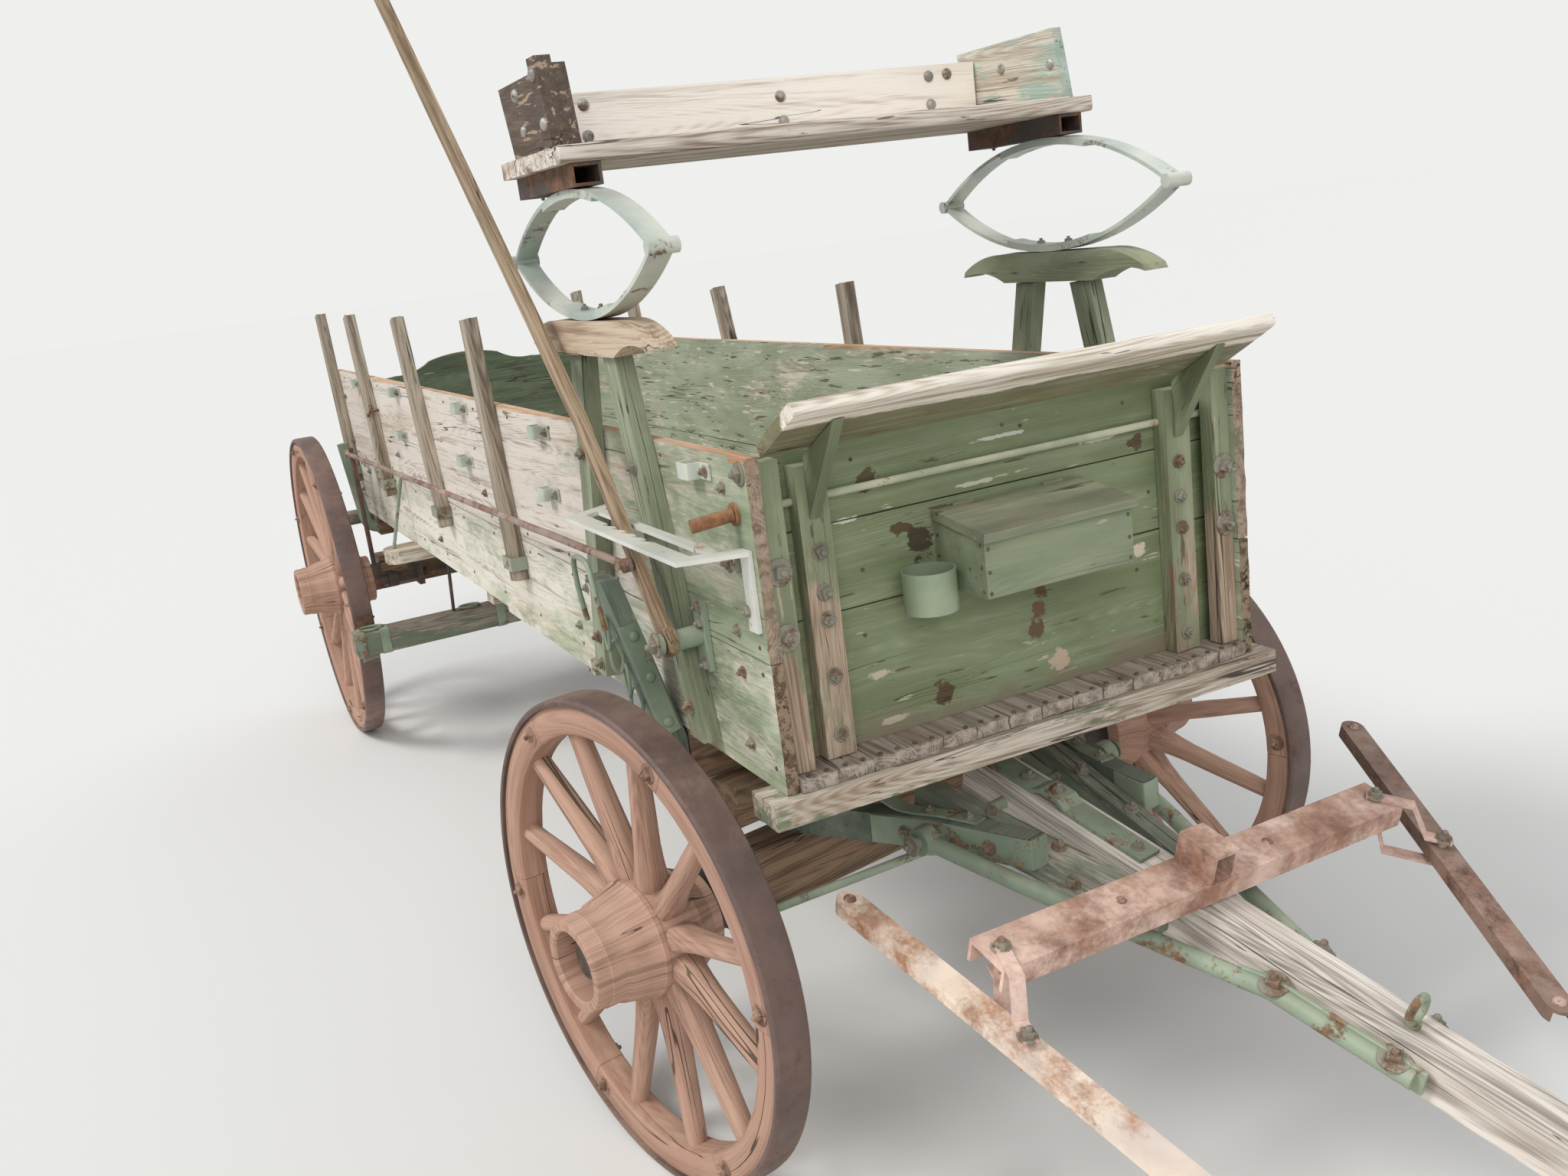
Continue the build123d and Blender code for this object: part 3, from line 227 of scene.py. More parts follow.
grain_group, where, fineness, cracks, knots = start_group(
    "timber grain", Vector=None, Fineness=1.0, Cracks=0.5, Knots=0.5)
slow = cloud(where, (0.9, 4.0, 4.0), 2.0, out="Color")
bent = where + (slow - (0.5, 0.5, 0.5)) * (0.0, 0.035, 0.035)
fine = bent * fineness
streak = cloud(fine, (1.6, 46.0, 46.0), 5.0, 0.62)
hair = cloud(fine, (9.0, 420.0, 420.0), 2.0)
cells = put(grain_group, "ShaderNodeTexVoronoi", {"Vector": bent * (1.9, 6.0, 6.0), "Scale": 1.0}, "Distance")
cell_colour = Wire(cells.socket.node.outputs["Color"])
size = (put(grain_group, "ShaderNodeSeparateColor", {0: cell_colour}) - 0.45) * (knots * 0.42)
knot = between(cells, size, size * 0.55) * (size > 0.03)
line = abs(cloud(bent, (0.8, 30.0, 30.0), 2.0) - 0.5)
width = between(cloud(where, (1.3, 9.0, 9.0), 1.0), 0.5, 0.72) * (cracks * 0.03)
crack = between(line, width, width * 0.4) * (width > 0.002)
flow = cloud(fine, (0.6, 8.0, 8.0), 1.0)
rings = (maths("SINE", (flow + knot * 0.06) * 300.0) + 1.0) * 0.5
end_group(
    grain_group, Streak=streak * 0.66 + hair * 0.26 + rings * 0.08, Crack=crack, Knot=knot,
    Height=streak * 0.5 + hair * 0.35 + rings * 0.15 - crack * 1.6 - knot * 0.35,
    Fleck=cloud(fine, (7.0, 60.0, 60.0), 4.0, 0.6))

paint_group, where, streak, edge, left, soft = start_group(
    "worn paint", Vector=None, Streak=0.5, Edge=0.0, Left=0.5, Soft=0.03)
patch = cloud(where, (2.2, 6.0, 6.0), 6.0, 0.66)
flake = cloud(where, (22.0, 110.0, 110.0), 4.0, 0.6)
kept = patch * 0.95 + flake * 0.3 + streak * 0.25 - edge * 0.42 + left - 1.25
end_group(paint_group, Mask=between(kept, soft * -1.0, soft))

dust_group, where, amount = start_group("dust", Vector=None, Amount=0.3)
lying = between(part(put(dust_group, "ShaderNodeNewGeometry", out="Normal"), "z"), 0.2, 0.95)
low_down = between(part(where, "z"), 0.55, 0.0)
spread = between(cloud(where, (7.0, 7.0, 7.0), 5.0, 0.7), 0.35, 0.7)
end_group(dust_group, Mask=clamped((lying * 0.8 + low_down) * amount * spread))


def along_grain(tree):
    """The piece's own coordinates along its grain, set apart for each of its woods."""
    along = put(tree, "ShaderNodeAttribute", out="Vector", attribute_name="grain")
    each = put(tree, "ShaderNodeAttribute", out="Fac", attribute_name="shift")
    return along + put(tree, "ShaderNodeCombineXYZ", {0: each * 7.3, 1: each, 2: 0.0})


def dusty(tree, colour, amount, dust_colour):
    """Dust over a colour, on what faces up and low down."""
    dust = use_group(tree, dust_group, Vector=whole(tree), Amount=amount)
    return mixed(dust["Mask"], colour, seen(dust_colour))


BARE_ROUGH, PAINT_ROUGH = 0.85, 0.62
HOLLOW, KNOT, CRACK = "584636", "4a3626", "30261e"


def timber(name, pale, dark, warm, paint=None, shade=None, left=0.0, rise=None, knots=0.4, cracks=0.5,
           fineness=1.0, dust=0.25, depth=0.0022, lie=(0.36, 0.6), soft=0.03, chips=0.0, warmth=0.5,
           low_dirt=None, marks=()):
    """Old wood with what is left of its paint.

    rise is (axis, low, high, amount) and low_dirt is (low, high), both in the whole frame. lie says
    between which tones of the grain the wood goes from dark to pale. marks are knots and chips seen
    at a place: (y, z, half width, half height, colour).
    """
    made, tree, shader = new_material(name)
    where = along_grain(tree)
    wood = use_group(tree, grain_group, Vector=where, Fineness=fineness, Cracks=cracks, Knots=knots)
    streak, fleck, height = wood["Streak"], wood["Fleck"], wood["Height"]
    edge = put(tree, "ShaderNodeAttribute", out="Fac", attribute_name="edge")
    colour = mixed(between(streak, *lie), seen(dark), seen(pale))
    tint = between(cloud(where, (1.1, 5.0, 5.0)), 0.5, 0.75, 0.0, warmth)
    colour = mixed(clamped(tint + edge * 0.55), colour, seen(warm))
    rough = BARE_ROUGH
    if paint:
        if rise:
            left = between(part(whole(tree), rise[0]), rise[1], rise[2], 0.0, rise[3]) + left
        coat = use_group(tree, paint_group, Vector=where, Streak=streak, Edge=edge, Left=left, Soft=soft)
        film = mixed(between(cloud(where, (3.0, 11.0, 11.0), 4.0, 0.6), 0.35, 0.68), seen(shade), seen(paint))
        film = mixed(between(streak, 0.5, 0.7) * 0.22, film, seen(pale))
        mask = coat["Mask"] * 0.94
        colour = mixed(mask, colour, film)
        height = height + coat["Mask"] * 0.45
        rough = mask * (PAINT_ROUGH - BARE_ROUGH) + BARE_ROUGH
    if chips:
        chipped = between(fleck, 0.72 - 0.12 * chips, 0.74 - 0.12 * chips)
        colour = mixed(chipped * 0.8, colour, seen(pale))
        pitted = between(fleck, 0.3 + 0.1 * chips, 0.28 + 0.1 * chips)
        colour = mixed(pitted * 0.75, colour, seen(HOLLOW))
        height = height - pitted * 0.4
    if low_dirt:
        splash = between(cloud(whole(tree), (9.0, 9.0, 9.0)), 0.2, 0.8, -0.05, 0.05)
        stain = between(part(whole(tree), "z") + splash, low_dirt[1], low_dirt[0], 0.0, 0.7)
        colour = mixed(stain, colour, seen("847464"))
    if marks:
        ragged = (cloud(whole(tree), (26.0, 30.0, 44.0), 4.0, 0.65) - 0.5) * 3.2
    for y, z, half_width, half_height, tone in marks:
        apart = (whole(tree) - (0.0, y, z)) * (0.0, 1 / half_width, 1 / half_height)
        apart = put(tree, "ShaderNodeVectorMath", {0: apart}, "Value", operation="LENGTH") + ragged
        colour = mixed(between(apart, 1.0, 0.72, 0.0, 0.9), colour, seen(tone))
    colour = mixed(wood["Knot"] * 0.75, colour, seen(KNOT))
    colour = mixed(wood["Crack"] * 0.85, colour, seen(CRACK))
    relief = put(tree, "ShaderNodeBump", {"Height": height, "Strength": 0.8, "Distance": depth})
    feed(shader, {"Base Color": dusty(tree, colour, dust, "c4aa8e"), "Roughness": rough,
                  "Specular IOR Level": 0.3, "Normal": relief})
    return made


def islands(form):
    """The separate solids of a mesh, each as its faces in a fixed order, so that every run is the same."""
    form.verts.index_update()
    form.faces.index_update()
    left_over = set(form.faces)
    for start in form.faces:
        if start not in left_over:
            continue
        left_over.discard(start)
        found, front = [start], [start]
        while front:
            for edge in front.pop().edges:
                for face in edge.link_faces:
                    if face in left_over:
                        left_over.discard(face)
                        found.append(face)
                        front.append(face)
        yield sorted(found, key=lambda face: face.index)


def frame_at(place, x, y, z):
    """A frame with its origin at a place and these axes."""
    turn = Matrix((x, y, z)).transposed().to_4x4()
    turn.translation = place
    return turn


def own_frame(spot):
    """The frame of a solid, in its middle, with x along its longest direction."""
    axes = np.linalg.eigh(np.cov((spot - spot.mean(0)).T))[1]
    x, y = Vector(axes[:, 2]), Vector(axes[:, 1])
    if x[max(range(3), key=lambda k: abs(x[k]))] < 0:
        x = -x
    return frame_at((spot.min(0) + spot.max(0)) / 2, x, y, x.cross(y).normalized())


def cut_in_cells(form, low, high, cell):
    """Cut a solid across all three directions, so that there are points to move."""
    for k, step in enumerate((cell[0], cell[1], cell[1])):
        count = int((high[k] - low[k]) / step)
        across = Vector([float(k == i) for i in range(3)])
        for i in range(1, count + 1):
            at = across * (low[k] + (high[k] - low[k]) * i / (count + 1))
            bmesh.ops.bisect_plane(form, geom=form.verts[:] + form.edges[:] + form.faces[:], dist=0.00001,
                                   plane_co=at, plane_no=across)


def mark(mesh, label, values):
    """Give each point of a mesh a number or a vector under this name."""
    values = np.array(values, np.float32)
    kind, key = ("FLOAT_VECTOR", "vector") if values.ndim == 2 else ("FLOAT", "value")
    mesh.attributes.new(label, kind, "POINT").data.foreach_set(key, values.ravel())


def belongs(piece, body, slot_name, *nodes):
    """Let a finished piece move with its body and stand for these frame parts, which it hides."""
    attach(piece, body)
    if nodes:
        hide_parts(*nodes)


def worn_copy(name, node, body, slot_name, *finishes, bevel=0.003, cell=(0.09, 0.035), wander=0.0015,
              chip=0.004, ends=0.004, seed=1, choose=None):
    """A frame part as old timber: rounded arrises with chips, ragged ends and a slight wander.

    Each of its solids is worked along its own grain, which is its longest direction. choose gives
    the number of the finish at a place.
    """
    points, faces, rows, rims, marks = [], [], [], [], []
    solids = bmesh.new()
    solids.from_mesh(frame["nodes"][node].data)
    bmesh.ops.remove_doubles(solids, verts=solids.verts, dist=0.00003)
    bmesh.ops.dissolve_limit(solids, angle_limit=radians(2), verts=solids.verts, edges=solids.edges)
    in_order = sorted(islands(solids), key=lambda faces: tuple(
        sum((f.calc_center_median() for f in faces), Vector())))
    for number, solid in enumerate(in_order, seed * 10 + 1):
        corners = sorted({v for f in solid for v in f.verts}, key=lambda v: v.index)
        turn = own_frame(np.array([v.co for v in corners]))
        back = turn.inverted()
        form = bmesh.new()
        twin = {v: form.verts.new(back @ v.co) for v in corners}
        for face in solid:
            form.faces.new([twin[v] for v in face.verts])
        sharp = [e for e in form.edges if e.is_manifold and e.calc_face_angle(0) > radians(32)]
        rim = form.faces.layers.int.new("rim")
        rounded = bmesh.ops.bevel(form, geom=sharp, offset=bevel, segments=2, profile=0.6, affect="EDGES",
                                  clamp_overlap=True)
        for face in rounded["faces"]:
            face[rim] = 1
        low, high = (Vector([limit(v.co[k] for v in form.verts) for k in range(3)]) for limit in (min, max))
        cut_in_cells(form, low, high, cell)
        form.normal_update()
        offset = Vector((number * 1.37, number * 0.731, number * 0.419))
        worn = {v for f in form.faces if f[rim] for v in f.verts}
        base = len(points)
        form.verts.index_update()
        for v in form.verts:
            p = v.co + offset
            rows.append(p)
            rims.append(float(v in worn))
            co = v.co.copy()
            if v in worn:
                bite = max(0.0, noise.noise(p * 14) + 0.35 * noise.noise(p * 45) - 0.05)
                co -= v.normal * min(bite * chip, bevel * 1.6)
            co -= v.normal * wander * (0.5 + 0.5 * noise.noise(Vector((p.x * 2.2, p.y * 9, p.z * 9))))
            for side, limit in ((-1, low.x), (1, high.x)):
                near = 1 - min(1.0, abs(v.co.x - limit) / 0.03)
                if near > 0 and ends:
                    ragged = 0.5 + 0.5 * noise.noise(Vector((p.y * 40, p.z * 40, number)))
                    co.x -= side * near * ends * ragged
            points.append(turn @ co)
        for face in form.faces:
            faces.append([base + v.index for v in face.verts])
            marks.append(choose(turn @ face.calc_center_median()) if choose else 0)
        form.free()
    solids.free()
    mesh = bpy.data.meshes.new(name)
    mesh.from_pydata(points, [], faces)
    mark(mesh, "grain", rows)
    mark(mesh, "edge", rims)
    for finish in finishes:
        mesh.materials.append(finish)
    mesh.polygons.foreach_set("material_index", np.array(marks, np.int32))
    mesh.shade_smooth()
    mesh.set_sharp_from_angle(angle=radians(40))
    belongs(stand(name, mesh), body, slot_name, node)


floor_wood = timber("grey floor planks", "b0a496", "76685a", "907660", cracks=0.8, knots=0.2, dust=0.2,
                    chips=0.2, warmth=0.3)
worn_copy("planks_of_the_floor", "floor_boards", "bed", "grey_wood", floor_wood, cell=(0.16, 0.02),
          ends=0.016, chip=0.006, seed=1)

# Cross sills: squared timbers under the floor. The front one shows peeled white and green paint
# on its face and grey, rounded ends; the wide one near the back sticks out as a step.
sill_wood = timber("peeled sill", "c8beae", "847260", "967658", "7a8668", "626c52", left=0.44, cracks=0.9,
                   knots=0.2, chips=0.4)
worn_copy("sills_under_the_floor", "cross_sills", "bed", "green_paint", sill_wood, bevel=0.005, seed=2,
          cell=(0.05, 0.024), ends=0.008, chip=0.007)

# Side boards: one wide board above another on each side, with sage green paint worn to grey wood.
# More of the paint is left low down and near the front; the top edge is bare and orange-brown.
side_wood = timber("side boards outside", "d2c8bc", "8e7e6e", "a8886a", "96a284", "748262", left=0.35,
                   rise=("x", 0.0, 1.1, 0.24), cracks=0.55, knots=0.6, lie=(0.3, 0.52), soft=0.14,
                   chips=0.25, warmth=0.3, depth=0.0016)
low_wood = timber("low side boards outside", "d8d2c4", "a2927e", "a68868", "9aa686", "6e7e5c", left=0.38,
                  rise=("x", 0.3, 1.2, 0.2), cracks=0.5, knots=0.4, lie=(0.3, 0.52), soft=0.14, chips=0.25,
                  warmth=0.3, depth=0.0016)
# The inside faces' tones are raised to paint in the sunlight on them; their chips and scratches are the
# wood's own.
sunlit_inner_wood = timber("side boards inside with painted sunlight", "ded8c8", "a0947e", "9e8266", "acb49c", "929c80", left=0.6,
                    cracks=0.5, knots=0.8, soft=0.08, chips=0.75, depth=0.0016)
end_wood = timber("side board ends", "a6927e", "705e4e", "8a6e58", "808a6c", "646e52", left=0.4, cracks=0.7,
                  chips=0.4)
rotten_end = timber("rotten board end", "968068", "46382e", "6e5440", "70765a", "545a42", left=0.46,
                    cracks=1.0, chips=1.6, soft=0.06)
top_wood = timber("bare top edge", "ceb092", "9c7456", "b27c58", cracks=0.6, knots=0.2, warmth=0.8,
                  dust=0.1)
SIDE_REAR, SIDE_FRONT, SIDE_TOP, SIDE_INSIDE = -2.907, 1.185, 1.4475, 0.521


def side_face(spot):
    """0 outside, 1 inside, 2 at the sawn ends, 3 along the top edge."""
    if not SIDE_REAR < spot.x < SIDE_FRONT:
        return 2
    if spot.z > SIDE_TOP:
        return 3
    return 1 if abs(spot.y) < SIDE_INSIDE else 0


worn_copy("low_boards_of_the_sides", "side_boards_lower", "bed", "green_paint", low_wood, sunlit_inner_wood,
          rotten_end, seed=3, ends=0.006, choose=side_face)
worn_copy("high_boards_of_the_sides", "side_boards_upper", "bed", "green_paint", side_wood, sunlit_inner_wood,
          end_wood, top_wood, seed=4, ends=0.008, chip=0.007, cell=(0.07, 0.03), choose=side_face)

# Front endgate: three boards across between the sides, in olive green paint that is mostly whole,
# with dark knots, pale chips and open seams between the boards.
gate_wood = timber(
    "front endgate", "c4bea8", "80745c", "8c745a", "7e8a68", "6c7754", left=0.94,
    cracks=0.1, knots=0.3, soft=0.05, chips=0.4, depth=0.0012, low_dirt=(0.88, 0.94), marks=(
        (-0.272, 1.362, 0.026, 0.024, "54422e"), (-0.178, 1.236, 0.03, 0.034, "423226"),
        (-0.215, 1.262, 0.03, 0.012, "54402e"), (-0.160, 0.939, 0.026, 0.024, "523e2a"),
        (0.325, 1.322, 0.018, 0.017, "52402e"), (0.078, 1.082, 0.014, 0.02, "5a4230"),
        (0.07, 1.042, 0.018, 0.022, "684c38"), (0.062, 1.002, 0.02, 0.02, "604834"),
        (-0.288, 1.006, 0.03, 0.009, "beb098"), (0.110, 0.935, 0.026, 0.02, "bca68e"),
        (-0.267, 0.912, 0.03, 0.007, "b8ac96"), (0.317, 1.111, 0.02, 0.012, "ccbeaa"),
        (0.02, 1.39, 0.05, 0.004, "ceccbc"), (-0.33, 1.30, 0.03, 0.005, "ccc8b6"),
        (0.24, 1.345, 0.05, 0.005, "c6c4b2"), (-0.05, 1.315, 0.04, 0.004, "c8c6b2"),
    ))
worn_copy("boards_of_the_front_endgate", "endgate_front", "bed", "green_paint", gate_wood, seed=5,
          bevel=0.002, chip=0.003, ends=0.0)

# Cleats and corner posts that stand on the endgate. The cleats are worn to bare tan wood low down.
cleat_wood = timber("cleats", "b4a08a", "7c6652", "96785e", "8e987a", "707a5c", left=0.4,
                    rise=("z", 1.0, 1.4, 0.34), cracks=0.5, knots=0.6, chips=0.5, soft=0.06)
worn_copy("cleats_of_the_endgate", "endgate_cleats", "bed", "tan_wood", cleat_wood, seed=6,
          cell=(0.05, 0.02), chip=0.005)

# Rear endgate: a wide panel with a wavy top and two cleats, in dark green.
rear_wood = timber("rear endgate", "a8a28e", "6a6250", "7c664e", "6c7860", "505c48", left=0.9, knots=0.9,
                   chips=0.6)
worn_copy("panel_of_the_rear_endgate", "endgate_rear", "bed", "dark_green", rear_wood, seed=7)

# Footboard: one thick board that slopes up and out over the endgate, with a bare rounded front edge.
# The bare wood's pale tone is raised to paint in the sunlight on the footboard's bare front edge.
sunlit_foot_wood = timber("footboard", "eae2d4", "a89680", "b28e6c", "868460", "6e6a4c", left=0.08,
                   rise=("x", 1.29, 1.235, 0.8), cracks=0.7, knots=0.3, chips=0.3, dust=0.1, soft=0.06)
worn_copy("board_for_the_feet", "footboard", "bed", "green_paint", sunlit_foot_wood, seed=8, bevel=0.004,
          ends=0.01, chip=0.008, cell=(0.05, 0.022))
bracket_wood = timber("footboard brackets", "b6a488", "74624c", "96785c", "7c8868", "646e54", left=0.8,
                      chips=0.4)
worn_copy("brackets_of_the_footboard", "footboard_brackets", "bed", "green_paint", bracket_wood, seed=9)

# Stakes: sawn sticks that lean back along both sides, grey and split, with some green left.
stake_wood = timber("stakes", "b0a492", "6e6050", "8c745c", "8c9274", "70765a", left=0.3, cracks=0.9,
                    knots=0.3, chips=0.5)
worn_copy("stakes_of_the_sides", "stakes", "bed", "grey_wood", stake_wood, seed=10, bevel=0.004, ends=0.012,
          chip=0.006, cell=(0.06, 0.018))

# Seat posts: two sawn posts a side, bolted outside the box and leaning together towards the top.
post_wood = timber("seat posts", "b0a694", "6c5e4e", "8c7056", "90987e", "6e765c", left=0.62, cracks=0.7,
                   soft=0.08, chips=0.6)
worn_copy("posts_of_the_seat", "seat_posts", "bed", "green_paint", post_wood, seed=11, cell=(0.06, 0.022),
          chip=0.006)
block_wood = timber("near seat block", "c8b49c", "8c7662", "aa8a6c", "96987c", "7a7c60", left=0.26,
                    cracks=0.6, chips=0.3, warmth=0.4)
far_block_wood = timber("far seat block", "b4ac92", "7c7058", "967a5e", "90967a", "747a60", left=0.72,
                        cracks=0.6, chips=0.5, soft=0.08)
worn_copy("blocks_under_the_springs", "seat_blocks", "bed", "green_paint", block_wood, far_block_wood,
          seed=12, cell=(0.04, 0.02), chip=0.006, choose=lambda p: 0 if p.y < 0 else 1)

# Seat: a thick plank with a low back, both bare and grey with brown edges. The near end board is
# dark and peeled; the far one is pale blue-green.
seat_wood = timber("seat plank", "ded4c8", "8a7662", "987658", cracks=0.9, knots=0.4, chips=0.5)
worn_copy("plank_of_the_seat", "seat_plank", "bed", "grey_wood", seat_wood, seed=13, bevel=0.005,
          ends=0.012, chip=0.01, cell=(0.06, 0.022))
# The seat back's pale and dark tones are raised well above the plank's to paint in the sunlight on its front
# face.
sunlit_back_wood = timber("seat back with painted sunlight", "faf3e8", "ccbeae", "c8aa8c", "bacab8", "a4b8a8", left=0.2, cracks=0.6,
                   knots=0.3, lie=(0.3, 0.54), soft=0.08, warmth=0.3)
worn_copy("back_of_the_seat", "seat_back", "bed", "grey_wood", sunlit_back_wood, seed=14, cell=(0.07, 0.025))
end_near = timber("near seat end", "b29880", "705846", "7e6048", "60544a", "4a3e36", left=0.74, cracks=0.8,
                  chips=1.2)
end_far = timber("far seat end", "d6cebe", "a69884", "a4886c", "aabeb0", "94aca0", left=0.5, cracks=0.4,
                 soft=0.06, chips=0.3)
worn_copy("ends_of_the_seat", "seat_ends", "bed", "green_paint", end_near, end_far, seed=15,
          cell=(0.03, 0.02), chip=0.007, choose=lambda p: 0 if p.y < 0 else 1)

# Tool box and its sloping lid: thin boards nailed together, green, with bare brown arrises.
tool_wood = timber("tool box", "b2a48e", "746452", "96765a", "869074", "727e64", left=0.92, cracks=0.15,
                   knots=0.2, soft=0.05, chips=0.3, depth=0.001)
worn_copy("body_of_the_tool_box", "tool_box", "bed", "green_paint", tool_wood, seed=16, bevel=0.0015,
          cell=(0.04, 0.03), chip=0.003, ends=0.0, wander=0.0006)
lid_wood = timber("tool box lid", "c4b8a0", "786a54", "96785a", "888e76", "707660", left=0.68, cracks=0.5,
                  knots=0.3, soft=0.08, chips=0.3)
worn_copy("lid_of_the_tool_box", "tool_box_lid", "tool_box_lid", "green_paint", lid_wood, seed=17,
          bevel=0.002, cell=(0.04, 0.03), chip=0.004, ends=0.002, wander=0.0006)

# Running gear: hewn bolsters, axles, hounds and the reach, in orange-brown oil or dark green paint.
oiled_wood = timber("oiled timber", "927860", "5c4a3c", "846248", "6c745e", "545c4a", left=0.38, cracks=0.6,
                    knots=0.2, dust=0.2, soft=0.08)
green_gear = timber("green gear", "9c988c", "5c5a50", "766c5c", "768272", "586456", left=0.7, cracks=0.5,
                    dust=0.2, chips=0.4, soft=0.06)
worn_copy("front_bolster_timber", "front_bolster", "bed", "brown_wood", oiled_wood, seed=18, bevel=0.004)
worn_copy("stakes_of_the_bolster", "bolster_stakes", "bed", "grey_wood", green_gear, seed=19, bevel=0.004,
          cell=(0.04, 0.02))
worn_copy("reach_pole", "reach", "bed", "brown_wood", oiled_wood, seed=20, bevel=0.005, cell=(0.12, 0.03))
worn_copy("hounds_at_the_back", "rear_hounds", "bed", "dark_green", green_gear, seed=21, bevel=0.004)
worn_copy("hounds_at_the_front", "front_hounds", "fore_carriage", "dark_green", green_gear, seed=22,
          bevel=0.004, cell=(0.06, 0.025))
worn_copy("sand_board_timber", "sand_board", "fore_carriage", "brown_wood", oiled_wood, seed=23,
          bevel=0.004)

# Tongue: a long tapered pole of grey, furrowed wood, and two futchels, green where the sun misses.
# The pole's pale tone is raised to paint in the sunlight on its top; the grey, furrowed wood is its own.
sunlit_tongue_wood = timber("tongue", "e0d6ca", "8e847a", "a89682", cracks=0.9, knots=0.15, fineness=0.8,
                     dust=0.15, warmth=0.25)
futchel_wood = timber("futchels", "bab2a2", "6e685c", "867a66", "788270", "5a6456", left=0.5, cracks=0.7,
                      chips=0.4, soft=0.06)
worn_copy("pole_of_the_tongue", "tongue_pole", "tongue", "grey_wood", sunlit_tongue_wood, seed=24, bevel=0.007,
          cell=(0.07, 0.022), chip=0.006, ends=0.008)
worn_copy("futchels_of_the_tongue", "tongue_futchels", "tongue", "dark_green", futchel_wood, seed=25,
          bevel=0.005, cell=(0.05, 0.02))

# Brake lever: a long bar of brown wood, bare and worn, that leans back past the seat.
lever_wood = timber("brake lever", "ac967c", "705a44", "907052", "7e825e", "646848", left=0.42, cracks=0.5,
                    knots=0.2, soft=0.08)
worn_copy("bar_of_the_brake_lever", "brake_lever", "brake_lever", "brown_wood", lever_wood, seed=26,
          cell=(0.06, 0.02), chip=0.005)

# Irons: springs, straps, rods, staples and channels, under old paint or bare and rusty.
rust_group, where, scale, amount, soft = start_group("rust", Vector=None, Scale=1.0, Amount=0.4, Soft=0.035)
scaled = where * scale
speck = cloud(scaled, (140.0, 140.0, 140.0), 4.0, 0.65)
level = cloud(scaled, (11.0, 11.0, 11.0), 7.0, 0.68) * 0.8 + speck * 0.2
bound = 0.74 - amount * 0.48
tone = between(cloud(scaled, (34.0, 34.0, 34.0), 6.0, 0.7), 0.3, 0.7)
end_group(rust_group, Mask=between(level, bound - soft, bound + soft), Tone=tone, Pits=speck)
RUST_ROUGH, ALL_RUSTY = 0.88, 1.2


def iron(name, base, second, rusty, dark_rust, amount=0.4, scale=1.0, metal=0.0, dull=0.55, own=False,
         dust=0.2, soft=0.035, rusty_side=None):
    """Iron under paint or a skin of rust, with broad patches and specks of darker rust.

    own means that the piece has its own coordinates. rusty_side is (axis, low, high): from low to
    high in the whole frame the rust covers all.
    """
    made, tree, shader = new_material(name)
    where = along_grain(tree) if own else whole(tree)
    if rusty_side:
        amount = between(part(where, rusty_side[0]), *rusty_side[1:], amount, ALL_RUSTY)
    rust = use_group(tree, rust_group, Vector=where, Scale=scale, Amount=amount, Soft=soft)
    mask = rust["Mask"]
    coat = mixed(between(cloud(where, (5.0, 5.0, 5.0), 4.0), 0.35, 0.65), seen(base), seen(second))
    colour = mixed(mask, coat, mixed(rust["Tone"], seen(dark_rust), seen(rusty)))
    height = rust["Pits"] * 0.6 - mask
    relief = put(tree, "ShaderNodeBump", {"Height": height, "Strength": 0.6, "Distance": 0.0008})
    feed(shader, {"Base Color": dusty(tree, colour, dust, "c4a88c"),
                  "Roughness": mask * (RUST_ROUGH - dull) + dull, "Normal": relief})
    if metal:
        feed(shader, {"Metallic": (1.0 - mask) * metal})
    return made


pale_iron = iron("pale green iron", "c0c4b6", "9ca696", "966e54", "60483a", 0.25, dull=0.4)
ratchet_iron = iron("ratchet and bar", "d6d4ca", "babcb2", "b2927a", "78604e", 0.3, dull=0.4)
gate_rod_iron = iron("rod across the endgate", "c4c4a8", "9ea286", "a07048", "684832", 0.3,
                     rusty_side=("y", -0.5335, -0.5345))
green_iron = iron("green iron", "929e88", "72806c", "927052", "584234", 0.34)
spring_iron = iron("spring leaves", "c6c8ba", "a0aca2", "8c705a", "5a483a", 0.3, dull=0.36)
# The doubletree and its straps: the pink rust is their own, and its pale base is raised to paint in the
# sunlight on them.
sunlit_pink_iron = iron("pink rusted channel with painted sunlight", "eccebe", "c8a696", "aa7c66", "765648", 0.5, scale=0.5, dull=0.6,
                 soft=0.14)
# The two singletrees are lit and shaded copies of one rusted iron: the near right one is pale with painted
# sunlight, the far left one dark with painted shade.
sunlit_singletree_iron = iron("pale singletree iron with painted sunlight", "f0dcc6", "d0c0b4", "bc8e6e", "8e6650", 0.42, scale=0.7,
                       dull=0.6, soft=0.1)
shaded_singletree_iron = iron("dark singletree iron with painted shade", "9e8070", "6c544a", "906a56", "48362e", 0.5, soft=0.1)
rod_iron = iron("purple brown rod", "9c8678", "806a5e", "8c6450", "5c463c", 0.45)
plain_iron = iron("dark iron", "5c544c", "443e38", "7c5840", "46342a", 0.5, metal=0.4)
can_iron = iron("galvanised can", "9ca68a", "849078", "786850", "56503e", 0.2, dull=0.45, metal=0.15)
staple_iron = iron("staples", "969a8a", "787a6a", "82644c", "544234", 0.4)
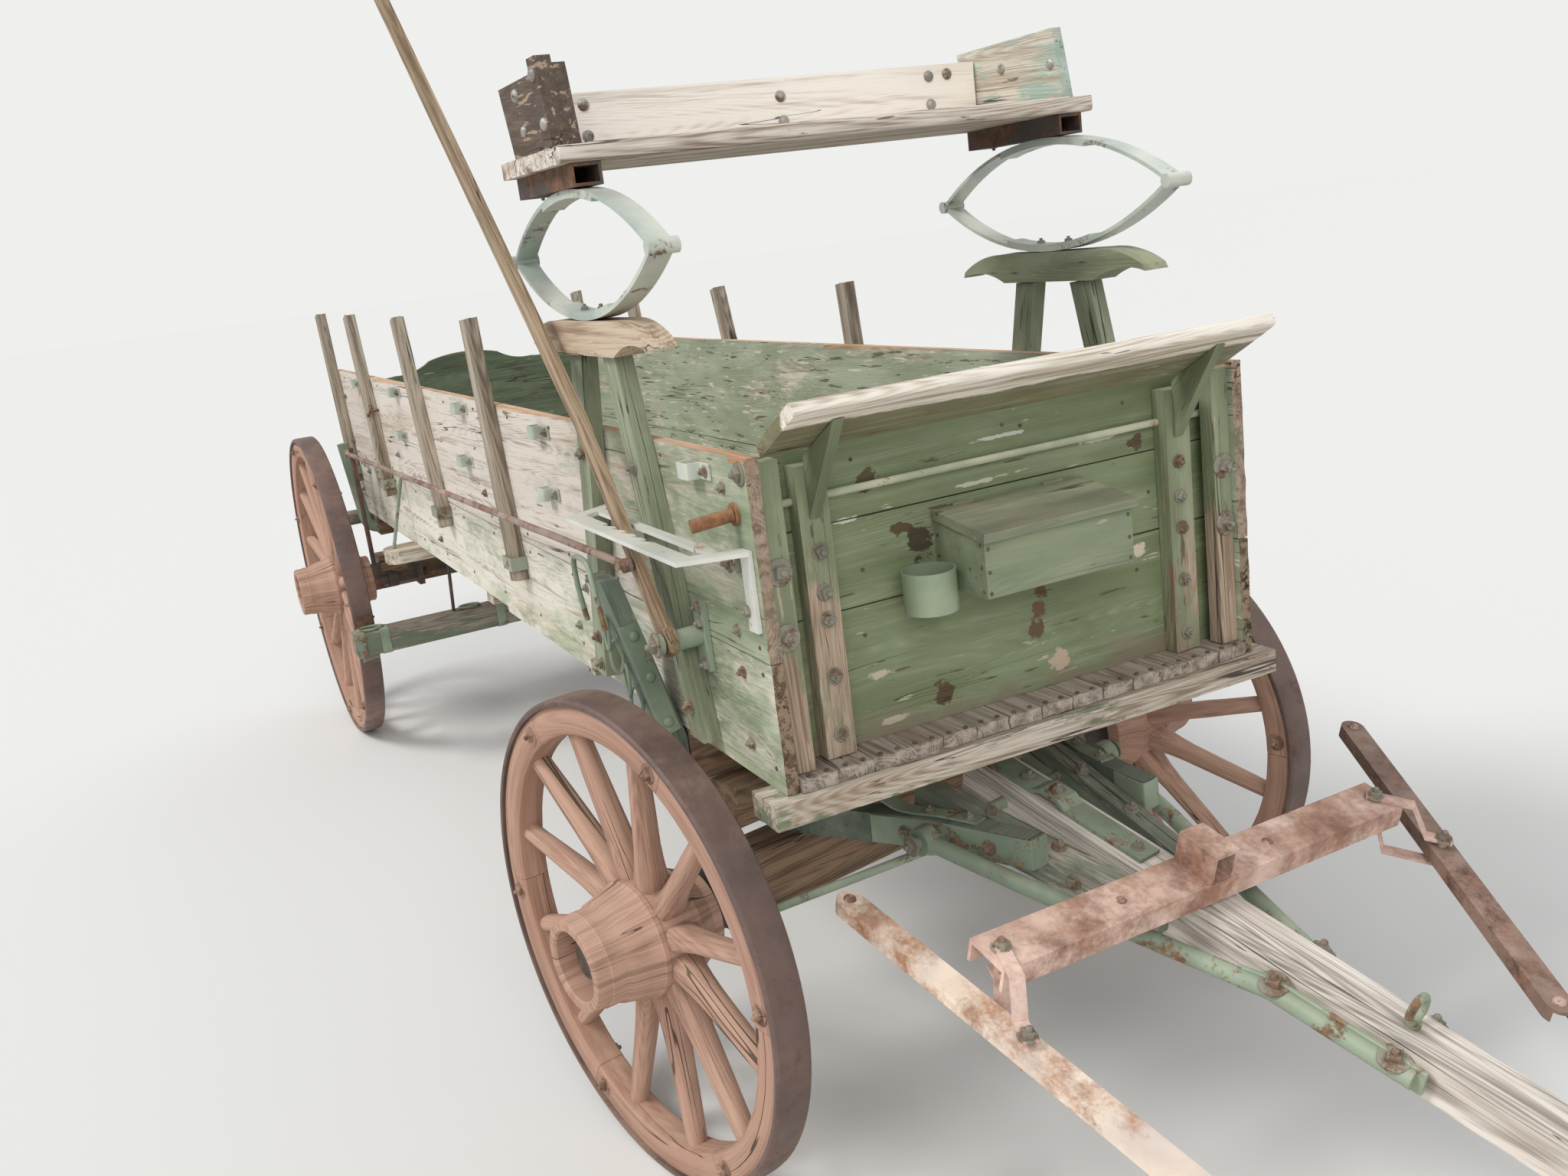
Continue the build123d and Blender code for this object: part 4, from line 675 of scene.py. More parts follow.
for finish, nodes in (
    (spring_iron, ("seat_springs",)), (can_iron, ("cup",)), (gate_rod_iron, ("endgate_rod",)),
    (staple_iron, ("stake_staples",)), (sunlit_pink_iron, ("doubletree", "strap_right", "strap_left")),
    (sunlit_singletree_iron, ("singletree_right",)), (shaded_singletree_iron, ("singletree_left",)), (rod_iron, ("brake_rod",)),
    (ratchet_iron, ("brake_ratchet",)),
    (green_iron, ("side_braces", "tongue_pipes", "lever_bracket", "front_stays")),
    (plain_iron, ("seat_bearers", "king_bolt", "rocker_shaft", "rocker_hangers")),
):
    for node in nodes:
        solid = frame["nodes"][node].data
        solid.materials.clear()
        solid.materials.append(finish)

# Bolts, nuts and nails of the box: square nuts on washers outside the boards, domed heads on the
# seat, and cut nails in the floor. Each kind is shaped once and set on marked points by a tree.


def bands(base, around, count, closed=False):
    """Faces between a count of rings of points, from point base on, with so many points around."""
    faces = []
    for i in range(count if closed else count - 1):
        a, b = base + i * around, base + (i + 1) % count * around
        faces += [(a + k, a + (k + 1) % around, b + (k + 1) % around, b + k) for k in range(around)]
    return faces


def end_faces(base, around, count):
    """The faces that close the first and the last of such rings."""
    first = [base + k for k in range(around)]
    return [first[::-1], [k + (count - 1) * around for k in first]]


def round_points(radius, height, sides, first=0.0):
    """Points round an upright axis, the first of them turned by this share of a step."""
    angles = (2 * pi * (k + first) / sides for k in range(sides))
    return [(radius * cos(a), radius * sin(a), height) for a in angles]


def turned_head(name, *parts):
    """One fastener, stacked from rings. Each part is its number of sides and its (radius, height) pairs."""
    points, faces = [], []
    for sides, steps in parts:
        base = len(points)
        for radius, height in steps[:-1]:
            points += round_points(radius, height, sides, 0.5)
        tip = len(points)
        points.append((0, 0, steps[-1][1]))
        faces += bands(base, sides, len(steps) - 1)
        faces += [(tip - sides + k, tip - sides + (k + 1) % sides, tip) for k in range(sides)]
        faces += end_faces(base, sides, 1)[:1]
    mesh = bpy.data.meshes.new(name)
    mesh.from_pydata(points, [], faces)
    mesh.shade_smooth()
    mesh.set_sharp_from_angle(angle=radians(35))
    return bpy.data.objects.new(name, mesh)


heads = {
    "nut": turned_head(
        "square nut", (20, ((0.019, -0.002), (0.019, 0.0016), (0.0178, 0.0026), (0.0, 0.0026))),
        (4, ((0.0158, 0.0), (0.0158, 0.0105), (0.0138, 0.0128), (0.0, 0.0128))),
        (12, ((0.0062, 0.01), (0.0062, 0.019), (0.0048, 0.021), (0.0, 0.021)))),
    "big nut": turned_head(
        "nut on a wide washer", (24, ((0.027, -0.002), (0.027, 0.0022), (0.0255, 0.0034), (0.0, 0.0034))),
        (4, ((0.0165, 0.0), (0.0165, 0.0118), (0.0145, 0.0142), (0.0, 0.0142))),
        (12, ((0.0066, 0.01), (0.0066, 0.02), (0.005, 0.0225), (0.0, 0.0225)))),
    "dome": turned_head(
        "domed bolt head", (18, ((0.0125, -0.002), (0.0125, 0.0012), (0.0112, 0.0042), (0.0082, 0.0066),
                                 (0.0042, 0.0079), (0.0, 0.0083)))),
    "nail": turned_head(
        "nail head", (9, ((0.0046, -0.002), (0.0046, 0.0008), (0.0036, 0.0016), (0.0, 0.0018)))),
}
fastener_tree = bpy.data.node_groups.new("fasteners on points", "GeometryNodeTree")
for label, kind in (("Points", "Geometry"), ("Head", "Object"), ("Finish", "Material"), ("Seed", "Int"),
                    ("Tilt", "Float")):
    fastener_tree.interface.new_socket(label, in_out="INPUT", socket_type="NodeSocket" + kind)
fastener_tree.interface.new_socket("Geometry", in_out="OUTPUT", socket_type="NodeSocketGeometry")
t = fastener_tree
sockets = {item.name: item.identifier for item in t.interface.items_tree if item.in_out == "INPUT"}
spots, head, finish, seed, tilt = (Wire(socket) for socket in t.nodes.new("NodeGroupInput").outputs[:5])
shape = put(t, "GeometryNodeObjectInfo", {"Object": head}, "Geometry")
facing = put(t, "GeometryNodeInputNamedAttribute", {"Name": "facing"}, "Attribute", data_type="FLOAT_VECTOR")
size = put(t, "GeometryNodeInputNamedAttribute", {"Name": "size"}, "Attribute", data_type="FLOAT")
upright = put(t, "FunctionNodeAlignRotationToVector", {"Vector": facing}, axis="Z")
lean = tilt * -1.0
low_turn = put(t, "ShaderNodeCombineXYZ", {0: lean, 1: lean, 2: -pi})
high_turn = put(t, "ShaderNodeCombineXYZ", {0: tilt, 1: tilt, 2: pi})
spin = put(t, "FunctionNodeRandomValue", {"Min": low_turn, "Max": high_turn, "Seed": seed}, "Value",
           data_type="FLOAT_VECTOR")
spin = put(t, "FunctionNodeEulerToRotation", {0: spin})
turned = put(t, "FunctionNodeRotateRotation", {0: upright, 1: spin}, rotation_space="LOCAL")
placed = put(t, "GeometryNodeInstanceOnPoints", {
    "Points": spots, "Instance": shape, "Rotation": turned, "Scale": size})
real = put(t, "GeometryNodeRealizeInstances", {0: placed})
coated = put(t, "GeometryNodeSetMaterial", {"Geometry": real, "Material": finish})
feed(t.nodes.new("NodeGroupOutput"), {0: coated})


def fasten(name, kind, body, finish, rows, seed, tilt=0.04, slot_name="rusty_iron"):
    """Set one kind of fastener on rows of (place, facing, size) and leave a plain mesh on its body."""
    mesh = bpy.data.meshes.new(name)
    mesh.from_pydata([row[0] for row in rows], [], [])
    mark(mesh, "facing", [Vector(row[1]).normalized() for row in rows])
    mark(mesh, "size", [row[2] for row in rows])
    piece = stand(name, mesh)
    step = piece.modifiers.new("fasteners", "NODES")
    step.node_group = fastener_tree
    for label, value in (("Head", heads[kind]), ("Finish", finish), ("Seed", seed), ("Tilt", tilt)):
        step[sockets[label]] = value
    bpy.context.view_layer.update()
    done = bpy.data.meshes.new_from_object(piece.evaluated_get(bpy.context.evaluated_depsgraph_get()))
    piece.modifiers.clear()
    piece.data = done
    belongs(piece, body, slot_name)


SIDES = (-1, 1)
FRONT, BACK, UP, DOWN, RIGHT, LEFT = (1, 0, 0), (-1, 0, 0), (0, 0, 1), (0, 0, -1), (0, -1, 0), (0, 1, 0)
bolt_iron = iron("bolts", "8c8878", "706a5c", "886a54", "584436", 0.42, scale=2.0, dull=0.5)
SIDE_Y, POST_Y, CORNER_X = 0.5335, 0.5705, 1.1717
side_bolts = ((1.066, 1.139), (1.064, 1.061), (1.061, 0.926), (0.62, 1.19), (0.20, 1.06), (-0.62, 1.19),
              (-1.18, 1.05), (-1.83, 1.19), (-2.52, 1.06), (-2.76, 1.35), (-2.76, 1.17), (-2.76, 0.96),
              (0.10, 0.95), (-1.35, 0.95))
post_bolts = ((0.447, 1.405), (0.757, 1.405), (0.378, 1.12), (0.358, 0.985), (0.35, 0.92), (0.872, 0.955))
rows = [((x, s * SIDE_Y, z), (0, s, 0), 0.62) for s in SIDES for x, z in side_bolts]
rows += [((1.081, s * SIDE_Y, 1.396), (0, s, 0), 0.6) for s in SIDES]
rows += [((x, s * POST_Y, z), (0, s, 0), 0.8) for s in SIDES for x, z in post_bolts]
fasten("nuts_outside_the_box", "nut", "bed", bolt_iron, rows, 3)
fasten("wide_washers_of_the_box", "big nut", "bed", bolt_iron, [
    ((1.159, -SIDE_Y, 1.427), RIGHT, 0.8), ((1.159, SIDE_Y, 1.427), LEFT, 0.8),
    ((CORNER_X, 0.489, 1.252), FRONT, 0.9), ((CORNER_X, 0.49, 1.136), FRONT, 0.9),
    ((CORNER_X, -0.489, 1.252), FRONT, 0.9), ((CORNER_X, -0.49, 1.136), FRONT, 0.9),
    ((1.066, -SIDE_Y, 1.262), RIGHT, 0.7), ((1.117, -SIDE_Y, 1.266), RIGHT, 0.8),
], 4)

# Rusty bolts up the cleats of both endgates, and the domed heads that hold the seat's back and ends.
CLEAT_X, REAR_CLEAT_X = 1.1497, -2.9078
rows = [((CLEAT_X, -0.398, z), FRONT, 0.82) for z in (1.265, 1.192, 1.143, 1.039, 0.932)]
rows += [((CLEAT_X, 0.398, z), FRONT, 0.74) for z in (1.275, 1.206, 1.143, 1.0365, 0.9266)]
rows += [((REAR_CLEAT_X, y, z), BACK, 0.8) for y in (-0.3, 0.3) for z in (1.345, 1.2, 1.05, 0.94)]
fasten("bolts_of_the_cleats", "nut", "bed", bolt_iron, rows, 5, tilt=0.1)
seat_iron = iron("seat bolts", "b0aca4", "8e8a82", "826c58", "56463a", 0.4, scale=2.0, metal=0.3, dull=0.4)
BACK_FRONT_X, BACK_REAR_X, CLAMP_X, CLAMP_Y = 0.3537, 0.3287, 0.6057, 0.552
rows = [((BACK_FRONT_X, y, z), FRONT, 1.0) for y, z in (
    (0.034, 2.082), (0.036, 2.03), (0.42, 2.098), (0.47, 2.1), (0.42, 2.036), (-0.42, 2.098),
    (-0.47, 2.1), (-0.42, 2.036))]
rows += [((BACK_REAR_X, y, z), BACK, 0.9) for y, z in (
    (0.034, 2.082), (0.036, 2.03), (0.42, 2.098), (-0.42, 2.098))]
rows += [((0.46, 0.548, 2.09), RIGHT, 0.9), ((0.64, 0.548, 2.075), RIGHT, 0.9),
         ((0.46, 0.574, 2.09), LEFT, 0.9), ((0.64, 0.574, 2.075), LEFT, 0.9),
         ((0.40, -0.574, 2.12), RIGHT, 1.1), ((0.42, -0.574, 2.05), RIGHT, 0.9),
         ((0.63, -0.606, 2.13), RIGHT, 1.0), ((0.655, -0.606, 2.04), RIGHT, 1.0)]
fasten("domed_bolts_of_the_seat", "dome", "bed", seat_iron, rows, 6)
rows = [((CLAMP_X + dx, s * CLAMP_Y, 1.6965), UP, 0.62) for s in SIDES for dx in (-0.05, 0.05)]
rows += [((x, s * CLAMP_Y, 1.9295), DOWN, 0.6) for s in SIDES for x in (0.40, 0.64)]
fasten("clamp_nuts_of_the_springs", "nut", "bed", bolt_iron, rows, 7)

# Nails: in the ends of the floor planks, along the seams of the sides and in the tool box.
FIRST_PLANK_Y, PLANK_PITCH, PLANK_FRONT_X, PLANK_REAR_X = -0.4712, 0.0725, 1.184, -2.89
plank_nails = [FIRST_PLANK_Y + k * PLANK_PITCH + dy for k in range(14) for dy in (-0.018, 0.018)]
FLOOR_TOP, GATE_X, TOOL_FRONT_X, TOOL_SIDE_Y = 0.8888, 1.1137, 1.2717, -0.146
rows = [((PLANK_FRONT_X + 0.006 * noise.noise(Vector((k // 2 * 3.7, 0, 0))), y, FLOOR_TOP), UP, 1.0)
        for k, y in enumerate(plank_nails)]
rows += [((PLANK_REAR_X, y, FLOOR_TOP), UP, 1.0) for y in plank_nails]
rows += [((x + 0.02 * noise.noise(Vector((x * 5, z * 9, s))), s * SIDE_Y, z), (0, s, 0), 0.9)
         for s in SIDES for z in (1.428, 1.125, 1.076, 0.905) for x in np.arange(-2.7, 1.15, 0.35)]
rows += [((GATE_X, y, z), FRONT, 0.8) for y, z in (
    (-0.47, 1.405), (-0.3, 1.404), (0.06, 1.402), (0.3, 1.404), (0.35, 1.22), (-0.30, 1.205), (0.02, 1.41),
    (0.31, 1.07), (-0.31, 1.085))]
rows += [((TOOL_FRONT_X, y, z), FRONT, 0.8) for y in (-0.138, 0.168) for z in (1.152, 1.19, 1.232)]
rows += [((x, TOOL_SIDE_Y, z), RIGHT, 0.8) for x in (1.125, 1.26) for z in (1.155, 1.2, 1.238)]
nail_iron = iron("nails", "6e6254", "544a3e", "705440", "423228", 0.5, scale=3.0, dull=0.7)
fasten("nails_of_the_box", "nail", "bed", nail_iron, rows, 8, tilt=0.08)

# Clips on both sides and an eye on the right one: flat iron bent to a short staple and bolted down,
# and a ring on a screw shank.


def made_piece(name, points, faces, finish, body, slot_name, place=Matrix(), nodes=(), **values):
    """A mesh piece in a frame, with its values at each point, riding on its body."""
    mesh = bpy.data.meshes.new(name)
    mesh.from_pydata([place @ Vector(p) for p in points], [], faces)
    for label, numbers in values.items():
        mark(mesh, label, numbers)
    form = bmesh.new()
    form.from_mesh(mesh)
    bmesh.ops.recalc_face_normals(form, faces=form.faces)
    form.to_mesh(mesh)
    form.free()
    mesh.materials.append(finish)
    mesh.shade_smooth()
    mesh.set_sharp_from_angle(angle=radians(38))
    belongs(stand(name, mesh), body, slot_name, *nodes)


def swept(path, section, side, closed=False, steps=6):
    """Points and faces of a bar bent along a smooth path. section is its outline as (across, out) pairs."""
    path = [Vector(p) for p in path]
    n = len(path)
    line = []
    for i in range(n if closed else n - 1):
        a, b, c, d = (path[(i + k) % n if closed else min(max(i + k, 0), n - 1)] for k in (-1, 0, 1, 2))
        for u in (k / steps for k in range(steps)):
            line.append(0.5 * (2 * b + (c - a) * u + (2 * a - 5 * b + 4 * c - d) * u * u
                               + (3 * b - a - 3 * c + d) * u ** 3))
    if not closed:
        line.append(path[-1])
    side = Vector(side).normalized()
    points = []
    count = len(line)
    for i, p in enumerate(line):
        ahead = line[(i + 1) % count] if closed or i + 1 < count else p
        behind = line[i - 1] if closed or i else p
        run = (ahead - behind).normalized()
        across = (side - run * side.dot(run)).normalized()
        out = run.cross(across)
        points += [p + across * u + out * v for u, v in section]
    around = len(section)
    return points, bands(0, around, count, closed) + ([] if closed else end_faces(0, around, count))


def flat(wide, thick):
    """The outline of flat iron with rubbed arrises."""
    w, h, c = wide / 2, thick / 2, min(wide, thick) * 0.18
    half = [(-w, -h + c), (-w + c, -h), (w - c, -h), (w, -h + c)]
    return half + [(-u, -v) for u, v in half]


def circle(radius, sides=10):
    """The outline of round iron."""
    return [p[:2] for p in round_points(radius, 0.0, sides)]


def oval(middle, along, across, steps=10):
    """A path round a middle, with these two half axes."""
    angles = (2 * pi * k / steps for k in range(steps))
    return [Vector(middle) + Vector(along) * cos(a) + Vector(across) * sin(a) for a in angles]


def forged(name, bars, finish, body, slot_name):
    """One piece from several bars, each (path, section, side, closed)."""
    points, faces = [], []
    for path, section, side, closed in bars:
        p, f = swept(path, section, side, closed)
        base = len(points)
        points += p
        faces += [[base + k for k in face] for face in f]
    made_piece(name, points, faces, finish, body, slot_name)


clip_spots = ((0.985, 1.418), (-1.648, 1.423), (-0.719, 1.424), (0.047, 1.415), (-1.658, 1.274),
              (-0.760, 1.270), (0.050, 1.267), (-2.4, 1.42))
clip_bend = ((-0.034, -0.002), (-0.034, 0.0208), (-0.028, 0.026), (0.006, 0.026), (0.012, 0.0208),
             (0.014, 0.004), (0.02, 0.002), (0.055, 0.002))
bars = [([(x + along, s * (SIDE_Y + out), z) for along, out in clip_bend], flat(0.03, 0.004), UP, False)
        for s in SIDES for x, z in clip_spots]
forged("clips_on_the_sides", bars, pale_iron, "bed", "pale_iron")
rows = [((x + 0.038, s * (SIDE_Y + 0.004), z), (0, s, 0), 0.62) for s in SIDES for x, z in clip_spots]
fasten("nuts_of_the_clips", "nut", "bed", bolt_iron, rows, 9)
EYE = Vector((-2.085, -SIDE_Y - 0.03, 1.336))
shank = [EYE + Vector(p) for p in ((0.018, 0, 0), (0.024, 0.012, 0), (0.026, 0.032, 0))]
forged("eye_on_the_right_side", [
    (oval(EYE, (0.018, 0, 0), (0, 0.008, 0.018)), circle(0.0042), LEFT, True),
    (shank, circle(0.0042), UP, False),
], plain_iron, "bed", "rusty_iron")

# Axles and rear bolster: squared timbers with iron skeins on the ends of the axles, and an iron
# stake bent up at each end of the bolster.
skein_iron = iron("axle skeins", "544c44", "3e3832", "745440", "42322a", 0.4, metal=0.5, dull=0.4)
joint = {j["name"]: j for j in frame["joints"]}
across = Vector(joint["wheel_front_right"]["axis"])
king = Vector(joint["steering"]["pos_m"])
SKEIN_START, STAKE_START = 0.56, 0.54
for name, node, body, end_finish, seed, bevel, choose in (
    ("timber_of_the_front_axle", "front_axle", "fore_carriage", skein_iron, 28, 0.003,
     lambda p: int(abs((p - king).dot(across)) > SKEIN_START)),
    ("timber_of_the_rear_axle", "rear_axle", "bed", skein_iron, 29, 0.003,
     lambda p: int(abs(p.y) > SKEIN_START)),
    ("timber_of_the_rear_bolster", "rear_bolster", "bed", green_iron, 30, 0.002,
     lambda p: int(abs(p.y) > STAKE_START)),
):
    worn_copy(name, node, body, "brown_wood", oiled_wood, end_finish, seed=seed, bevel=bevel, ends=0.0,
              chip=0.002, wander=0.0004, choose=choose)

# Irons of the fore carriage: a band wrapped round the front end of each hound, an S-shaped strap from
# the sand board down to each hound, and square nuts through them. They turn with the axle.
upwards = Vector(UP)
ahead = across.cross(upwards)
fore = frame_at((king.x, king.y, 0), ahead, across, upwards)
DROP = radians(15)
pole_run = ahead * cos(DROP) - upwards * sin(DROP)
tongue = frame_at(joint["tongue_lift"]["pos_m"], pole_run, across, pole_run.cross(across))


def set_in(place, rows):
    """Turn rows of (place, facing, size) from a body's own frame to the whole frame."""
    return [(place @ Vector(p), place.to_3x3() @ Vector(n), size) for p, n, size in rows]


HOUND_Z, STRAP_TOP = 0.6225, 0.6608
bars = []
for s in SIDES:
    bars.append(([fore @ Vector((u, s * v, HOUND_Z)) for u, v in (
        (0.20, 0.2898), (0.30, 0.2470), (0.334, 0.2330), (0.43, 0.2106), (0.528, 0.1872), (0.5375, 0.180),
        (0.5375, 0.149), (0.528, 0.1436), (0.45, 0.1578))], flat(0.06, 0.0025), UP, False))
    bars.append(([fore @ Vector((u, s * v, w)) for u, v, w in (
        (0.048, 0.300, 0.700), (0.056, 0.298, 0.722), (0.10, 0.290, 0.728), (0.165, 0.272, 0.716),
        (0.215, 0.254, 0.680), (0.255, 0.236, 0.6605), (0.33, 0.205, 0.6580), (0.41, 0.187, 0.6580))],
        flat(0.034, 0.005), across, False))
forged("straps_of_the_hounds", bars, green_iron, "fore_carriage", "pale_iron")
rows = []
for s in SIDES:
    rows += [((0.271, s * 0.2610, HOUND_Z), (0.397, s * 0.918, 0), 0.8),
             ((0.45, s * 0.2080, HOUND_Z), (0.228, s * 0.973, 0), 0.8),
             ((0.30, s * 0.217, STRAP_TOP), UP, 0.6), ((0.385, s * 0.192, STRAP_TOP), UP, 0.6),
             ((0.0, s * 0.335, 0.6555), UP, 0.8), ((-0.25, s * 0.335, 0.6555), UP, 0.8)]
fasten("nuts_of_the_hounds", "nut", "fore_carriage", bolt_iron, set_in(fore, rows), 11, tilt=0.02)
rows = [((0.0455, v, 0.70), FRONT, 0.8) for v in (-0.43, -0.12, 0.12, 0.43)]
fasten("bolts_of_the_sand_board", "dome", "fore_carriage", bolt_iron, set_in(fore, rows), 12)

# Bolts of the tongue: two square nuts on long bolts through the strap over the pole, nuts through the
# flattened ends of the pipes, big nuts on the hinge rod, and the bolts of the futchels.
rows = [((0.02, 0.0, 0.0535), UP, 0.9), ((0.096, 0.0, 0.0655), UP, 0.9), ((0.30, 0.0, 0.0535), UP, 0.7)]
for s in SIDES:
    rows += [((0.20, s * 0.106, 0.0375), UP, 0.8), ((0.05, s * 0.132, 0.0375), UP, 0.8),
             ((0.26, s * 0.1265, 0.0), (0.17, s * 0.985, 0), 0.8)]
fasten("nuts_of_the_tongue", "nut", "tongue", bolt_iron, set_in(tongue, rows), 13, tilt=0.03)
rows = []
for s in SIDES:
    rows += [((0.655, s * 0.070, 0.0165), (0, s * 0.25, 0.97), 1.0),
             ((0.872, s * 0.060, 0.0165), (0, s * 0.25, 0.97), 1.0), ((0.0, s * 0.2995, 0.0), (0, s, 0), 0.8)]
fasten("big_nuts_of_the_pipes", "big nut", "tongue", bolt_iron, set_in(tongue, rows), 14, tilt=0.05)
bars = [([tongue @ Vector((u, s * v, 0.0)) for u, v in (
    (0.60, 0.083), (0.66, 0.064), (0.74, 0.060), (0.86, 0.0545), (0.925, 0.0535))],
    flat(0.046, 0.010), tongue.to_3x3() @ upwards, False) for s in SIDES]
forged("flattened_ends_of_the_pipes", bars, green_iron, "tongue", "pale_iron")

# Bolts of the doubletree and singletrees: domed heads between the straps, washers and pins at the
# ends, all under the same pink skin of rust.
pink_bolt = iron("pink bolt heads", "ceb0a2", "b08e80", "8c6452", "5c4236", 0.5, scale=2.0, dull=0.5)


def frame_of(label, towards):
    """The upright frame of a draught piece at its joint, with its x along the piece."""
    at = Vector(joint[label]["pos_m"])
    up = tongue.to_3x3() @ upwards
    run = (Vector(towards) - at).normalized()
    run = (run - up * run.dot(up)).normalized()
    return frame_at(at, run, up.cross(run), up)


evener = frame_of("doubletree_swing", (1.4046, 0.6416, 0.5632))
rows = [((u, 0.0, 0.0222), UP, 0.9) for u in (-0.2, 0.165)]
rows += [((u, v, 0.0222), UP, 0.7) for u in (-0.034, 0.034) for v in (-0.036, 0.036)]
fasten("bolts_of_the_doubletree", "dome", "doubletree", pink_bolt, set_in(evener, rows), 15)
for side, tree_end in (("right", (2.0107, -0.2727, 0.3928)), ("left", (1.8879, 0.5094, 0.3851))):
    single = frame_of(f"singletree_{side}_swing", tree_end)
    rows = [((u, 0.0, 0.0137), UP, 0.95) for u in (-0.432, 0.432)]
    fasten(f"end_bolts_of_the_{side}_singletree", "dome", f"singletree_{side}", pink_bolt,
           set_in(single, rows), 16)
    strap_at = frame_of(f"strap_{side}_swing", joint[f"singletree_{side}_swing"]["pos_m"])
    rows = [((0.0, 0.0, 0.0294), UP, 0.95), ((0.14, 0.0, -0.0326), UP, 0.95)]
    fasten(f"nuts_of_the_{side}_strap", "nut", f"strap_{side}", bolt_iron, set_in(strap_at, rows), 17)

# Irons of the front bolster's stakes: a bail over each head, a strip down the front face with domed
# bolts, and a short chain that hangs beside it.
STRIP_X, CHAIN_LINKS, CHAIN_TOP, LINK_PITCH, CHAIN_GAP = 0.7262, 4, 1.075, 0.052, 0.014
STAKE_TOP_Y, STAKE_TOP_Z, STAKE_LEAN = 0.6453, 1.1294, 0.255
bars, rows = [], []
for s in SIDES:
    bars.append(([(x, s * y, z) for x, y, z in (
        (0.622, 0.668, 1.10), (0.621, 0.676, 1.17), (0.628, 0.679, 1.222), (0.650, 0.680, 1.238),
        (0.700, 0.680, 1.238), (0.722, 0.679, 1.222), (0.7285, 0.676, 1.17), (0.7285, 0.668, 1.10))],
        circle(0.0055), UP, False))
    bars.append(([(STRIP_X, s * y, z) for y, z in (
        (0.622, 1.10), (0.606, 1.04), (0.592, 0.98), (0.578, 0.92), (0.563, 0.86))],
        flat(0.04, 0.005), LEFT, False))
    rows += [((0.7284, s * y, z), FRONT, 0.9) for y, z in ((0.613, 1.075), (0.592, 0.985), (0.569, 0.885))]
    for k in range(CHAIN_LINKS):
        z = CHAIN_TOP - k * LINK_PITCH
        y = s * (STAKE_TOP_Y - (STAKE_TOP_Z - z) * STAKE_LEAN + CHAIN_GAP)
        lie = Vector((0, s, 0) if k % 2 else FRONT)
        link = oval((0.662, y, z), lie * 0.012, upwards * 0.034)
        bars.append((link, circle(0.0042, 8), upwards.cross(lie), True))
forged("bails_and_chains_of_the_bolster", bars, green_iron, "bed", "pale_iron")
fasten("bolts_of_the_bolster_stakes", "dome", "bed", green_iron, rows, 18, slot_name="pale_iron")

# Brake: a grey timber hung on iron rods before the rear wheels, with a wooden shoe at each end. Bands
# go round the beam, two rings lie on it, and nuts hold the lever's bracket and the ratchet's feet.
beam_wood = timber("brake beam", "968e80", "5c5246", "70604e", "788270", "5e6856", left=0.44, cracks=0.7,
                   chips=0.4)
BEAM_IRONS_Z = 0.5585
worn_copy("beam_of_the_brake", "brake_beam", "bed", "grey_wood", beam_wood, plain_iron, seed=27,
          bevel=0.004, cell=(0.06, 0.03), choose=lambda p: int(p.z > BEAM_IRONS_Z))
BEAM = Vector((-1.9642, 0.0, 0.51))
half_band = [(-0.0365 * u, -0.0465 * v) for u, v in (
    (1, 0.8), (1, 0), (1, -0.8), (0.8, -1), (0, -1), (-0.8, -1))]
band = half_band + [(-u, -v) for u, v in half_band]
bars = [([BEAM + Vector((u, y, v)) for u, v in band], flat(0.034, 0.004), LEFT, True)
        for y in (-0.778, -0.69, -0.25, 0.25, 0.69, 0.778)]
for s in SIDES:
    for y, r in ((0.735, 0.034), (0.36, 0.028)):
        middle = BEAM + Vector((0, s * y, 0.0515))
        bars.append((oval(middle, (r * 0.8, 0, 0), (0, r * 1.3, 0), 12), circle(0.0055), UP, True))
forged("bands_of_the_brake_beam", bars, green_iron, "bed", "pale_iron")
rows = [((0.917, -SIDE_Y - 0.0098, z), RIGHT, 0.7) for z in (1.155, 1.125, 1.045)]
rows += [((1.14, -0.5415, 1.19), RIGHT, 0.62)]
fasten("nuts_of_the_brake_irons", "nut", "bed", bolt_iron, rows, 19)
fasten("washer_of_the_lever_pivot", "big nut", "bed", bolt_iron, [((0.9007, -0.631, 1.098), RIGHT, 0.9)],
       20)

# Wheels: turned oak naves, dished oval spokes, felloes bolted end to end, and an iron tyre shrunk
# on. The wood is faded terracotta; the tyre is purple-brown and worn smooth.
wheel_wood = timber("terracotta wheel wood", "ba9682", "846252", "9e7662", cracks=0.7, knots=0.12,
                    dust=0.25, lie=(0.24, 0.62), depth=0.0014)
nut_iron = iron("axle nuts", "705442", "544034", "8c6244", "463228", 0.5, scale=1.5)
tyre_iron = iron("tyre iron", "705a52", "584640", "7a5c4e", "4a3832", 0.35, scale=1.2, own=True, dull=0.5,
                 metal=0.15, dust=0.25, soft=0.12)
wheel_iron = iron("felloe bolts", "a07e6a", "846452", "825c48", "543e32", 0.45, scale=2.0)
TYRE_T, TYRE_W, FELLOE, DISH, SPOKE_FOOT = 0.014, 0.076, 0.062, 0.034, 0.108
NAVE_STEPS, SPOKE_SIDES, FELLOE_STEPS, TYRE_STEPS = 56, 16, 14, 120
SPOKE_AT, SPOKE_WIDE = (0, 0.12, 0.32, 1), (0.0245, 0.0245, 0.0205, 0.018)
SPOKE_DEEP = (0.032, 0.032, 0.027, 0.02)
